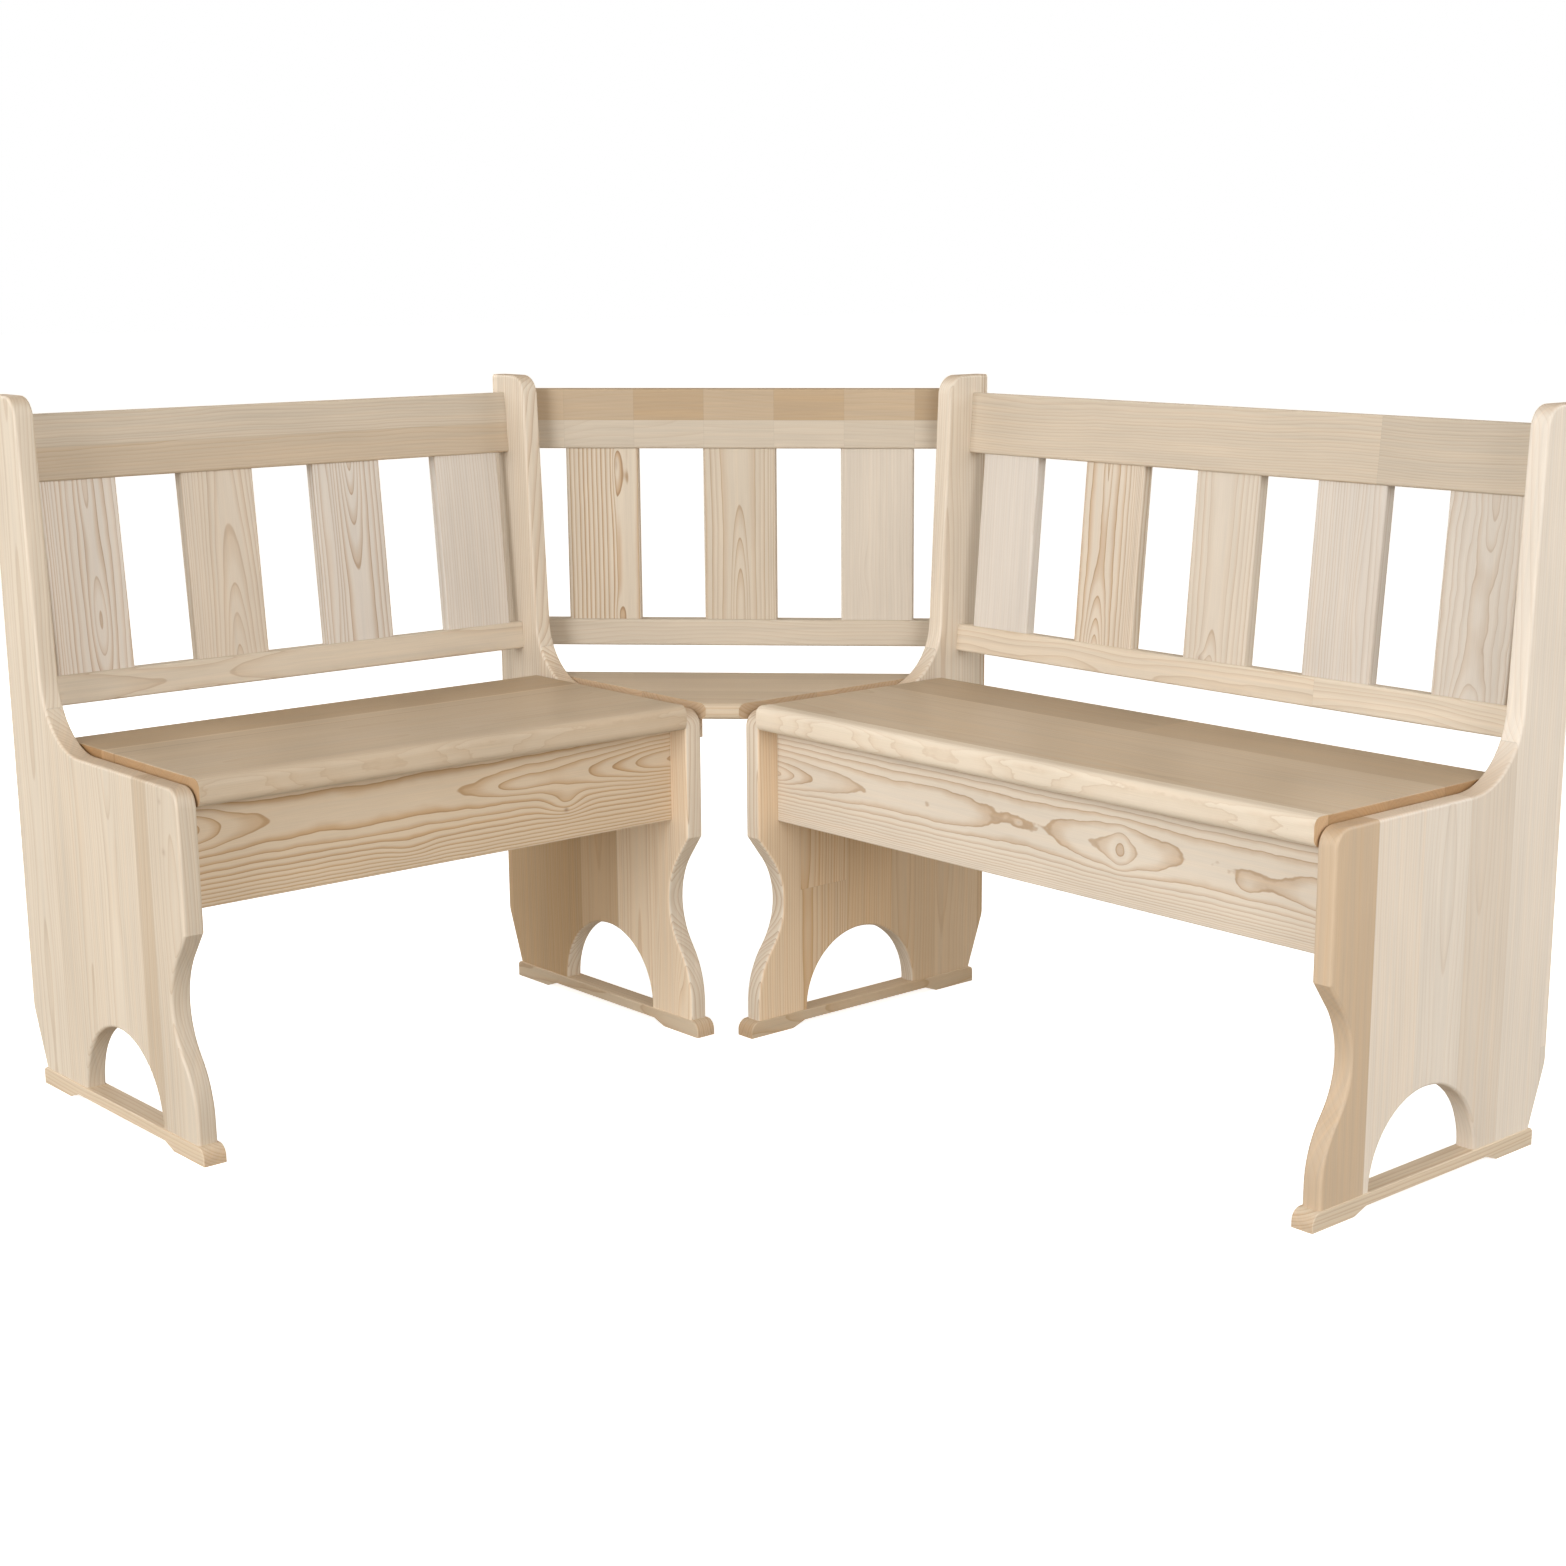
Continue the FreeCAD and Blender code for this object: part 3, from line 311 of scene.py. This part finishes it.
    # Within a ring the wood darkens slowly, then ends in a thin line
    strength = nodes.times(inputs["Figure"], nodes.times_plus(ring_chance, 0.5, 0.6))
    unlike = nodes.times(nodes.minus(warm_chance, 0.5), inputs["Strip Figure"])
    strength = nodes.times(strength, nodes.plus(unlike, 1.0))
    late = nodes.times(nodes.ramp(ring, *LATE_COMES), nodes.ramp(ring, *LATE_GOES))
    late = nodes.times(late, strength)
    line = nodes.times(nodes.ramp(ring, *LINE_COMES), nodes.ramp(ring, *LINE_GOES))
    line = nodes.times(line, strength)

    # Fibres, fine streaks along the grain and slow changes of tone
    slanted = nodes.times_plus(through, 1.31, across)
    fibre = nodes.noise(nodes.times(along, FIBRES[0]), nodes.times(slanted, FIBRES[1]), 1.0, 0.6)
    streak = nodes.noise(nodes.times_plus(along, STREAKS[0], own), nodes.times(slanted, STREAKS[1]), 1.5)
    cloud = nodes.noise(nodes.times_plus(along, CLOUDS[0], own), nodes.times(across, CLOUDS[1]), 1.0)

    # The colour, cooler or warmer, and its tone
    colour = nodes.blend(nodes.times(late, LATE_SHARE), EARLY_WOOD, LATE_WOOD)
    colour = nodes.blend(nodes.times(line, LINE_SHARE), colour, RING_LINE)
    colour = nodes.vector("MULTIPLY", colour, nodes.blend(inputs["Cool"], (1, 1, 1), COOL_TINT))
    warm = nodes.times_plus(nodes.minus(warm_chance, 0.5), inputs["Strip Tone"], inputs["Warmth"])
    warm = nodes.times_plus(streak, STREAK_WARMTH, warm)
    colour = nodes.blend(nodes.ramp(warm, 0.0, 1.0, smooth=False), colour, WARM_WOOD)
    tone = nodes.times_plus(nodes.minus(tone_chance, 0.5), inputs["Strip Tone"], inputs["Tone"])
    for pattern, amount in ((cloud, CLOUD_TONE), (fibre, FIBRE_TONE), (streak, inputs["Streak"])):
        tone = nodes.times_plus(pattern, amount, tone)

    # A hair line of glue between two strips and two blocks
    edges = []
    for place, width in ((strip_place, inputs["Strip"]), (block_place, inputs["Block"])):
        side = nodes.maths("FRACT", place)
        edges.append(nodes.times(nodes.maths("MINIMUM", side, nodes.minus(1.0, side)), width))
    glue = nodes.ramp(nodes.maths("MINIMUM", *edges), 0.0, GLUE_WIDTH * MM, GLUE_TONE, 1.0)
    tone = nodes.times(tone, glue)
    colour = nodes.vector("MULTIPLY", colour, nodes.join(tone, tone, tone))

    # Ends of the fibres drink more of the finish, so they are browner
    facing = nodes.maths("ABSOLUTE", nodes.split(inputs["Normal"])[0])
    end = nodes.times(nodes.ramp(facing, 0.45, 0.95), inputs["End"])
    colour = nodes.blend(end, colour, nodes.vector("MULTIPLY", colour, END_GRAIN))
    nodes.feed(outputs["Color"], colour)
    nodes.feed(outputs["Roughness"], nodes.times_plus(fibre, FIBRE_ROUGHNESS, MEAN_ROUGHNESS))
    nodes.feed(outputs["Height"], fibre)
    return group


FIGURE = make_figure_group()
PINE = make_pine_group()


def measured_along(nodes, vector, axes, middle=None):
    """A vector's parts along three axes, from the middle of the board where one is given."""
    parts = []
    for axis in axes:
        part = nodes.vector("DOT_PRODUCT", vector, axis)
        parts.append(part if middle is None else nodes.minus(part, middle.dot(axis)))
    return nodes.join(*parts)


def add_figures(nodes, place, figures):
    """How many rings the knots and flames of a board push aside, and how dark their hearts are."""
    push, dark = None, None
    flat = nodes.vector("MULTIPLY", place, (1, 1, 0)) if figures else None
    for at_along, at_across, length, width, rings, heart in figures:
        figure = nodes.add("ShaderNodeGroup", node_tree=FIGURE)
        nodes.feed(figure.inputs["Place"], flat)
        nodes.feed(figure.inputs["Middle"], (at_along * MM, at_across * MM, 0))
        nodes.feed(figure.inputs["Length"], length * MM)
        nodes.feed(figure.inputs["Width"], width * MM)
        nodes.feed(figure.inputs["Push"], rings)
        push = figure.outputs["Push"] if push is None else nodes.plus(push, figure.outputs["Push"])
        if heart:
            core = nodes.times(nodes.maths("POWER", figure.outputs["Near"], 3.0), heart)
            dark = core if dark is None else nodes.plus(dark, core)
    return push, dark


def add_patches(nodes, place, normal, patches, tone, warmth):
    """The tone and the warmth of a board, with the changes in its patches."""
    along, across, _ = nodes.split(place)
    for start, end, low, high, side, more_tone, more_warmth in patches:
        share = 1.0
        for value, least, most in ((along, start, end), (across, low, high)):
            share = nodes.times(share, nodes.maths("GREATER_THAN", value, least * MM))
            share = nodes.times(share, nodes.maths("LESS_THAN", value, most * MM))
        # One face only: the corner panels take this for painted shade on their inner faces below the seat
        if side:
            looking = nodes.times(nodes.split(normal)[2], float(side))
            share = nodes.times(share, nodes.ramp(looking, 0.5, 0.9))
        tone = nodes.times_plus(share, more_tone, tone)
        warmth = nodes.times_plus(share, more_warmth, warmth)
    return tone, warmth


def pine(name, along, across, middle, figures=(), patches=(), face=0.0, gloss=0.5, tone=1.0,
         warmth=0.0, **values):
    """Pine for one board: the grain's direction, the direction across it and a point of the board.

    A figure is (along, across, length, width, rings pushed aside, darkness of its heart).
    A patch is (start, end, low, high, side, change of tone, change of warmth): two places along the
    grain, two across it, and 1 or -1 for one face of the board only or 0 for all of them.
    Face is where the visible face lies from the middle of the board, so that rings start there.
    The other values go to the inputs of the pine group that have their names.
    """
    material = bpy.data.materials.new(name)
    material.use_nodes = True
    nodes = Nodes(material.node_tree)
    shader = material.node_tree.nodes["Principled BSDF"]
    coordinates = nodes.add("ShaderNodeTexCoord").outputs
    axes = (along, across, along.cross(across))
    place = measured_along(nodes, coordinates["Object"], axes, middle + axes[2] * face * MM)
    wood = nodes.add("ShaderNodeGroup", node_tree=PINE)
    nodes.feed(wood.inputs["Place"], place)
    normal = measured_along(nodes, coordinates["Normal"], axes)
    nodes.feed(wood.inputs["Normal"], normal)
    settings = {label.replace("_", " ").title(): value for label, value in values.items()}
    push, dark = add_figures(nodes, place, figures)
    if push is not None:
        settings["Push"] = push
    settings["Tone"], settings["Warmth"] = add_patches(nodes, place, normal, patches, tone, warmth)
    for label, value in settings.items():
        nodes.feed(wood.inputs[label], value)
    colour = wood.outputs["Color"]
    if dark is not None:
        colour = nodes.blend(nodes.maths("MINIMUM", dark, 1.0), colour, KNOT_HEART)
    nodes.feed(shader.inputs["Base Color"], colour)
    nodes.feed(shader.inputs["Roughness"], nodes.plus(wood.outputs["Roughness"], gloss - 0.5))
    bump = nodes.add("ShaderNodeBump")
    bump.inputs["Strength"].default_value = RELIEF_STRENGTH
    bump.inputs["Distance"].default_value = RELIEF_HEIGHT * MM
    nodes.feed(bump.inputs["Height"], wood.outputs["Height"])
    nodes.feed(shader.inputs["Normal"], bump.outputs[0])
    return material


def dress(node_name, material):
    """Give a CAD node one material on every slot."""
    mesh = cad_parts[node_name].data
    if not mesh.materials:
        mesh.materials.append(material)
    for index in range(len(mesh.materials)):
        mesh.materials[index] = material


def middle_of(node_name):
    low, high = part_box(node_name)
    return (Vector(low) + Vector(high)) / 2


def seed_of(node_name):
    """A whole number that belongs to the name."""
    return float(sum((index + 3) * ord(letter) for index, letter in enumerate(node_name)) % 97)


def board(node_name, along, across, **values):
    """Dress a CAD node in pine of its own, with the grain along one direction."""
    dress(node_name, pine(node_name + "_pine", along, across, middle_of(node_name),
                          seed=seed_of(node_name), **values))


def make_steel():
    """Zinc-plated steel, a little blotchy, for the hinges and screws."""
    material = bpy.data.materials.new("zinc_plated_steel")
    material.use_nodes = True
    nodes = Nodes(material.node_tree)
    shader = material.node_tree.nodes["Principled BSDF"]
    x, y, z = nodes.split(nodes.add("ShaderNodeTexCoord").outputs["Object"])
    blotch = nodes.noise(nodes.times(nodes.plus(x, z), STEEL_BLOTCHES),
                         nodes.times(nodes.plus(y, z), STEEL_BLOTCHES), 3.0)
    colour = nodes.blend(nodes.ramp(blotch, -0.25, 0.25), STEEL_DARK, STEEL_LIGHT)
    nodes.feed(shader.inputs["Base Color"], colour)
    roughness = nodes.times_plus(blotch, STEEL_ROUGHNESS_CHANGE, STEEL_ROUGHNESS)
    nodes.feed(shader.inputs["Roughness"], roughness)
    shader.inputs["Metallic"].default_value = 1.0
    return material


# Slats of the long bench from the corner outwards: a plain one, one with tall flames and dark
# stripes, one with a low flame, one straight and one with wavy flames
RIGHT_SLATS = [
    dict(pith=0.12, depth=0.05, ring=0.0045, figure=0.14, tone=0.97, cool=1.0),
    dict(pith=-0.014, depth=0.060, ring=0.0055, figure=0.85, phase=0.12, uneven=0.2, ripple=0.35,
         ripple_scale=16.0, wander=0.004, tone=0.91, warmth=0.06, cool=0.4,
         figures=[(-165, -14, 95, 16, -4.5, 0), (150, -10, 110, 6, -1.4, 0), (20, 55, 400, 14, 4.2, 0)]),
    dict(pith=-0.006, depth=0.055, ring=0.0046, figure=0.42, phase=0.12, uneven=0.3, ripple=0.4,
         wander=0.008, tone=0.89, cool=0.45,
         figures=[(-175, -6, 78, 15, -3.2, 0), (-120, -22, 9, 8, -1.2, 0.35)]),
    dict(pith=0.060, depth=0.030, ring=0.0042, figure=0.36, wander=0.012, tone=0.92, cool=1.0,
         figures=[(-20, 20, 90, 10, -1.5, 0)]),
    dict(pith=0.006, depth=0.055, ring=0.0055, figure=0.40, phase=0.12, ripple=1.0, ripple_scale=14.0,
         wander=0.006, tone=0.91, cool=0.8,
         figures=[(-150, 0, 62, 26, -2.6, 0), (130, 14, 75, 16, -2.6, 0), (-20, 0, 30, 12, -0.6, 0)]),
]

# Slats of the short bench, from the outer end to the corner
LEFT_SLATS = [
    # The outer slat's higher tone and cool tint are painted light, lifting the shade beside the end panel
    dict(pith=0.012, depth=0.045, ring=0.0052, figure=0.70, phase=0.12, uneven=0.3, ripple=0.4,
         wander=0.008, tone=1.02, cool=1.0,
         figures=[(-60, 12, 60, 12, -2.2, 0), (130, 8, 90, 10, -1.6, 0), (0, -50, 300, 12, 2.0, 0)]),
    dict(pith=0.010, depth=0.036, ring=0.0045, slope=0.03, figure=0.45, edge=1.4, half_width=0.055,
         phase=0.1, ripple=0.4, wander=0.010, warmth=0.08, tone=0.86, cool=0.5,
         figures=[(-150, 8, 90, 14, -2.0, 0)]),
    dict(pith=0.006, depth=0.050, ring=0.0050, figure=0.75, edge=1.0, half_width=0.055, phase=0.12,
         uneven=0.3, ripple=0.35, wander=0.006, tone=0.94, cool=1.0,
         figures=[(170, 4, 120, 14, -4.0, 0), (20, -30, 160, 9, 1.6, 0)]),
    dict(pith=0.100, depth=0.040, ring=0.0042, figure=0.35, wander=0.01, tone=0.93, cool=1.0),
]

# Slats of the corner from left to right: dark stripes with resin flames, a tall flame, a plain one
CORNER_SLATS = [
    dict(pith=0.036, depth=0.020, ring=0.0060, figure=1.20, wander=0.003, ripple=0.25, uneven=0.2,
         phase=0.12, tone=0.82, patches=[(-200, 200, 12, 60, 0, 0.03, 0.0)],
         figures=[(85, 20, 48, 7, -1.2, 0), (100, 20, 16, 4, -0.5, 0.35), (-118, 22, 26, 8, -1.1, 0),
                  (-5, 19, 90, 3, -0.4, 0)]),
    dict(pith=-0.002, depth=0.050, ring=0.0052, figure=0.55, phase=0.12, ripple=0.3, wander=0.004,
         tone=0.79, warmth=0.04, figures=[(-110, 0, 120, 13, -3.0, 0), (0, 60, 400, 14, 3.6, 0)]),
    dict(pith=0.12, depth=0.05, ring=0.0045, figure=0.14, tone=0.75, cool=0.5,
         figures=[(-50, -18, 30, 9, -1.2, 0)]),
]

# Aprons: large flames and eyes with small knots, on the short bench in browner wood, a little
# darker too as painted shade on the side that the lamps light less
RIGHT_APRON = dict(
    ring=0.0065, depth=0.085, pith=0.004, phase=0.12, edge=5.5, half_width=0.070, figure=0.70,
    wander=0.001, ripple=0.45, ripple_scale=22.0, uneven=0.10, tone=1.01, cool=0.4,
    figures=[(-560, -2, 260, 30, -3.3, 0), (-150, -2, 75, 30, -0.8, 0), (-470, -6, 40, 12, -1.6, 0),
             (-12, 3, 5, 3, -0.5, 0.3), (142, -6, 75, 34, -1.5, 0), (154, -3, 14, 24, -1.0, 0.12),
             (346, -12, 18, 15, -0.65, 0), (480, -10, 75, 18, -1.6, 0)])

LEFT_APRON = dict(
    ring=0.0048, depth=0.095, pith=0.022, phase=0.20, edge=0.8, half_width=0.070, figure=1.2,
    wander=0.003, ripple=0.7, ripple_scale=11.0, uneven=0.15, tone=0.96, warmth=0.26, cool=0.0,
    figures=[(-430, 26, 104, 26, -4.6, 0), (430, 15, 215, 28, -6.0, 0), (110, 15, 50, 12, -1.2, 0),
             (186, -24, 30, 17, -2.0, 0), (186, -30, 6, 5, 0.0, 0.6), (-57, -44, 34, 15, -1.0, 0)])

# Wood that isn't glued is a single strip, wider than its board. The rings of slats and aprons start
# at the visible face, about exactly the pith that is given for them.
ONE_STRIP = dict(strip=0.2, shift=0.5)
SLAT_WOOD = dict(strip=0.3, shift=0.5, spread=0.0, face=SLAT_FACE)
APRON_WOOD = dict(strip=0.4, shift=0.5, spread=0.0, face=APRON_FACE)

# Wood of the seats, of cleats and battens, and of dowels
SEAT_WOOD = dict(strip=0.107, shift=0.5, ring=0.0045, depth=0.04, cool=0.0, end=1.0, gloss=0.34)
STICK_WOOD = dict(ring=0.004, depth=0.04, figure=0.4)
DOWEL_WOOD = dict(strip=0.5, ring=0.003, depth=0.04, figure=0.2)

# Start and end of patches, in millimetres along the grain: over a whole board, or on a side panel
# from its foot to just below the seat, where the panels' inner faces get painted shade
ALL = (-500, 500)
SHADED_BELOW_SEAT = (-450, -20)

# The side panels. Below the seat the inner faces of the corner's panels are browner: painted shade
# where the seat and apron keep the light out, over strips of browner wood of their own. The front
# strip of the long bench's end panel is browner all over.
PANELS = {
    "right_corner": dict(
        tone=0.95, cool=0.3, figure=0.80, strip_figure=1.4,
        # painted shade on the whole inner face below the seat, then its strips' own browner wood
        patches=[SHADED_BELOW_SEAT + (-250, 250, -1, 0.24, 0.46), SHADED_BELOW_SEAT + (-53, 33, -1, -0.10, 0.16),
                 SHADED_BELOW_SEAT + (33, 119, -1, -0.12, 0.14), SHADED_BELOW_SEAT + (119, 250, -1, -0.16, 0.08)]),
    "right_end": dict(
        tone=1.04, cool=0.7, figure=0.16,
        figures=[(-40, -185, 130, 14, -2.2, 0), (230, -10, 5, 4, 0, 0.35)],
        patches=[ALL + (-230, -139, 0, -0.08, 0.50), ALL + (-139, -53, 0, -0.01, 0.07),
                 ALL + (33, 119, 0, -0.02, 0.09)]),
    "left_corner": dict(
        tone=0.96, cool=0.25, figure=0.60, strip_figure=0.8,
        figures=[(-440, 185, 110, 16, -4.0, 0), (-200, 150, 200, 8, 2.0, 0)],
        # painted shade on the whole inner face below the seat, then its strips' own browner wood
        patches=[SHADED_BELOW_SEAT + (-250, 53, -1, 0.06, 0.64), SHADED_BELOW_SEAT + (-250, -33, -1, -0.06, 0.10),
                 SHADED_BELOW_SEAT + (53, 250, -1, 0.32, 0.30)]),
    "left_end": dict(
        tone=0.94, cool=0.2, figure=0.30,
        figures=[(-80, 175, 7, 7, 0, 0.3), (-20, 172, 6, 6, 0, 0.25), (100, 128, 330, 8, -1.5, 0)],
        patches=[ALL + (139, 230, 0, -0.09, 0.02), ALL + (104, 139, 0, -0.10, 0.22)]),
}

# The runners under the side panels
FEET = {
    "right_corner": dict(tone=0.93, warmth=0.42),
    "right_end": dict(tone=0.96, warmth=0.12),
    "left_corner": dict(tone=0.96, warmth=0.26),
    "left_end": dict(tone=0.90, warmth=0.26),
}


def dress_panels(side, depth_axis, front):
    """The side panels of glued strips, and the runners under them.

    Front is 1 or -1, for the side of the depth axis on which the bench's front lies.
    """
    first = (PANEL_HALF_DEPTH - PANEL_FRONT_STRIP) / PANEL_STRIP
    for place in ("corner", "end"):
        panel = "%s_%s" % (side, place)
        board(panel + "_panel", Z, depth_axis, strip=PANEL_STRIP * MM, shift=-front * first,
              ring=0.0042, depth=0.050, streak=0.18, strip_tone=0.11, wander=0.012, spread=2.6,
              ripple=0.3, **PANELS[panel])
        board(panel + "_foot", depth_axis, Z, ring=0.004, depth=0.03, figure=0.55, cool=0.0,
              **ONE_STRIP, **FEET[panel])


# The short bench's top rail is glued from two strips, the lower of them browner. The long bench's is
# a single strip with a joint across it, and darker beyond the joint.
TOP_RAILS = {
    "left": dict(tone=0.78, strip=0.044, patches=[ALL + (-60, 0, 0, -0.01, 0.26)]),
    "right": dict(tone=0.78, warmth=0.04, block=0.9, stagger=0.0, block_shift=0.741,
                  patches=[(233, 500, -60, 60, 0, -0.04, 0.0)], **ONE_STRIP),
}


def dress_back(side, run, slats):
    """The rails and slats of a bench's back, which leans to the rear."""
    rear = Y if run == X else -X
    lean = (Z * math.cos(BACK_LEAN) + rear * math.sin(BACK_LEAN)).normalized()
    board(side + "_top_rail", run, lean, ring=0.0030, pith=0.05, depth=0.05, figure=0.30, streak=0.16,
          ripple=0.8, strip_tone=0.05, **TOP_RAILS[side])
    board(side + "_lower_rail", run, lean, ring=0.0036, depth=0.04, figure=0.30, streak=0.25,
          wander=0.02, tone=0.89, **ONE_STRIP)
    for number, values in enumerate(slats, 1):
        board("%s_slat_%d" % (side, number), lean, run, **SLAT_WOOD, **values)


# The rear strip of each seat is browner and darker: browner wood of its own, with painted shade of
# the back over it. The short bench's seat also has a dark glue line. Across the grain the rear lies
# at the high end on the long bench and at the low end on the short one.
SEAT_SHADE_AND_GLUE_PATCHES = {
    # first of each: the rear strip, with painted shade of the back; second: the glue line
    "right": [ALL + (53, 170, 0, -0.11, 0.22)],
    "left": [ALL + (-170, -61, 0, -0.14, 0.28), ALL + (-29, -26, 0, -0.12, 0.20)],
}

# The thick front edge of the long bench's seat is paler than its board
LIPPINGS = {"right": dict(tone=0.96), "left": dict(tone=0.78, warmth=0.30)}


def dress_seat(side, run, depth_axis):
    """A bench's lid: its glued board, its thick front edge and the battens under it."""
    board(side + "_lid_board", run, depth_axis, block=2.0, figure=0.28, strip_tone=0.08, tone=0.80,
          warmth=0.36, patches=SEAT_SHADE_AND_GLUE_PATCHES[side], **SEAT_WOOD)
    board(side + "_lid_lipping", run, Z, spread=0.0, ring=0.0028, depth=0.03, figure=0.22, wander=0.03,
          ripple=0.6, ripple_scale=40.0, end=1.0, gloss=0.40, **ONE_STRIP, **LIPPINGS[side])
    board(side + "_lid_battens", depth_axis, run, strip=0.5, **STICK_WOOD)


def dress_bench(side, run, slats, apron):
    """The boards of one bench, which runs along X or Y, and its hardware."""
    depth_axis = Y if run == X else X
    dress_panels(side, depth_axis, -1 if run == X else 1)
    dress_back(side, run, slats)
    dress_seat(side, run, depth_axis)
    board(side + "_apron", run, Z, **APRON_WOOD, **apron)
    board(side + "_chest_back", run, Z, strip=0.4, shift=0.5, ring=0.006, depth=0.03, figure=0.6,
          wander=0.04)
    board(side + "_chest_bottom", run, depth_axis, strip=0.3, ring=0.007, depth=0.02, figure=0.35,
          wander=0.06, tone=0.95)
    board(side + "_chest_cleats", run, Z, strip=0.5, **STICK_WOOD)
    board(side + "_dowels", run, Z, **DOWEL_WOOD)
    for name in ("chest_hinge_leaves", "lid_hinge_leaves", "hinge_pins", "chest_screws", "lid_screws",
                 "foot_screws"):
        dress("%s_%s" % (side, name), STEEL)


# The upper strip of the corner's top rail is browner, and every other block of it darker still
CORNER_RAIL_BLOCK = 100
CORNER_RAIL_PATCHES = [ALL + (-2, 60, 0, 0.0, 0.48)]
for block_start in (-150, 50, 250):
    CORNER_RAIL_PATCHES.append((block_start, block_start + CORNER_RAIL_BLOCK, -2, 60, 0, -0.03, 0.16))


def dress_corner():
    """The boards of the corner unit, which lie along the diagonal or across it, and its screws."""
    board("corner_top_rail", DIAGONAL, Z, strip=0.05, shift=0.04, block=CORNER_RAIL_BLOCK * MM,
          block_shift=0.5, stagger=0.0, ring=0.0030, pith=0.05, depth=0.06, figure=0.12,
          strip_tone=0.04, tone=0.71, patches=CORNER_RAIL_PATCHES)
    board("corner_lower_rail", DIAGONAL, Z, ring=0.003, depth=0.05, figure=0.2, tone=0.78, **ONE_STRIP)
    for number, values in enumerate(CORNER_SLATS, 1):
        board("corner_slat_%d" % number, Z, DIAGONAL, **SLAT_WOOD, **values)
    board("corner_seat", DIAGONAL, OUTWARD, figure=0.4, strip_tone=0.06, tone=0.86, warmth=0.22,
          **SEAT_WOOD)
    board("corner_rear_batten", DIAGONAL, Z, strip=0.3, **STICK_WOOD)
    board("corner_cleats", X, Z, strip=0.3, **STICK_WOOD)
    board("corner_dowels", X, Z, **DOWEL_WOOD)
    dress("corner_screws", STEEL)


STEEL = make_steel()
dress_bench("right", X, RIGHT_SLATS, RIGHT_APRON)
dress_bench("left", Y, LEFT_SLATS[::-1], LEFT_APRON)
dress_corner()


def plain_mesh(name, corners, faces, material):
    """A mesh of one material, linked to the scene."""
    mesh = bpy.data.meshes.new(name)
    mesh.from_pydata(corners, [], faces)
    mesh.materials.append(material)
    thing = bpy.data.objects.new(name, mesh)
    bpy.context.scene.collection.objects.link(thing)
    return thing


def paper(name, brightness, glow):
    """Matt paper that also glows, so that it stays white where the lamps are far."""
    material = bpy.data.materials.new(name)
    material.use_nodes = True
    shader = material.node_tree.nodes["Principled BSDF"]
    shader.inputs["Base Color"].default_value = (brightness, brightness, brightness, 1.0)
    shader.inputs["Roughness"].default_value = 1.0
    shader.inputs["Specular IOR Level"].default_value = 0.0
    shader.inputs["Emission Color"].default_value = (1.0, 1.0, 1.0, 1.0)
    shader.inputs["Emission Strength"].default_value = glow
    return material


def make_stage():
    """A plain pale floor, and a white wall and ceiling round it, which light nothing themselves."""
    corners = [(-1, -1), (1, -1), (1, 1), (-1, 1)]
    floor_corners = [(x * STAGE_REACH, y * STAGE_REACH, 0) for x, y in corners]
    floor_paper = paper("floor_paper", FLOOR_BRIGHTNESS, FLOOR_GLOW)
    floor = plain_mesh("floor", floor_corners, [(0, 1, 2, 3)], floor_paper)
    lower = [(x, y, WALL_FOOT) for x, y, _ in floor_corners]
    upper = [(x, y, STAGE_REACH) for x, y, _ in floor_corners]
    sides = [(0, 1, 5, 4), (1, 2, 6, 5), (2, 3, 7, 6), (3, 0, 4, 7), (4, 5, 6, 7)]
    wall = plain_mesh("backdrop", lower + upper, sides, paper("backdrop_paper", 0.0, 1.0))
    for thing in (floor, wall):
        thing.visible_diffuse = False
        thing.visible_glossy = False
    wall.visible_shadow = False


def add_lamp(name, place, size, power):
    """A square lamp that shines at the bench and isn't seen itself."""
    light = bpy.data.lights.new(name, "AREA")
    light.shape = "SQUARE"
    light.size = size
    light.energy = power
    lamp = bpy.data.objects.new(name, light)
    lamp.location = place
    lamp.rotation_euler = (LAMP_TARGET - Vector(place)).to_track_quat("-Z", "Y").to_euler()
    lamp.visible_camera = False
    bpy.context.scene.collection.objects.link(lamp)


def make_light():
    """A soft studio: an even glow, two large lamps in front and two weaker ones behind."""
    world = bpy.data.worlds.new("studio")
    bpy.context.scene.world = world
    world.use_nodes = True
    background = world.node_tree.nodes["Background"]
    background.inputs["Color"].default_value = AMBIENT_COLOUR + (1.0,)
    background.inputs["Strength"].default_value = AMBIENT
    for name, place, size, power in LAMPS:
        add_lamp(name, place, size, power)


def make_camera():
    """The camera that took the photograph."""
    heading = Vector((-math.sin(CAMERA_TURN), math.cos(CAMERA_TURN), 0))
    forward = heading * math.cos(CAMERA_PITCH) - Z * math.sin(CAMERA_PITCH)
    right = Vector((math.cos(CAMERA_TURN), math.sin(CAMERA_TURN), 0))
    up = right.cross(forward)
    tipped_right = right * math.cos(CAMERA_ROLL) + up * math.sin(CAMERA_ROLL)
    tipped_up = up * math.cos(CAMERA_ROLL) - right * math.sin(CAMERA_ROLL)
    turn = Matrix((tipped_right, tipped_up, -forward)).transposed()
    data = bpy.data.cameras.new("camera")
    data.sensor_width = SENSOR_WIDTH
    data.lens = SENSOR_WIDTH * FOCAL_PIXELS / IMAGE_SIZE
    data.shift_x = 0.5 - CENTRE_PIXEL[0] / IMAGE_SIZE
    data.shift_y = CENTRE_PIXEL[1] / IMAGE_SIZE - 0.5
    camera = bpy.data.objects.new("camera", data)
    camera.matrix_world = Matrix.Translation(CAMERA_PLACE) @ turn.to_4x4()
    bpy.context.scene.collection.objects.link(camera)
    bpy.context.scene.camera = camera


make_stage()
make_light()
make_camera()
bpy.context.scene.view_settings.view_transform = "Standard"
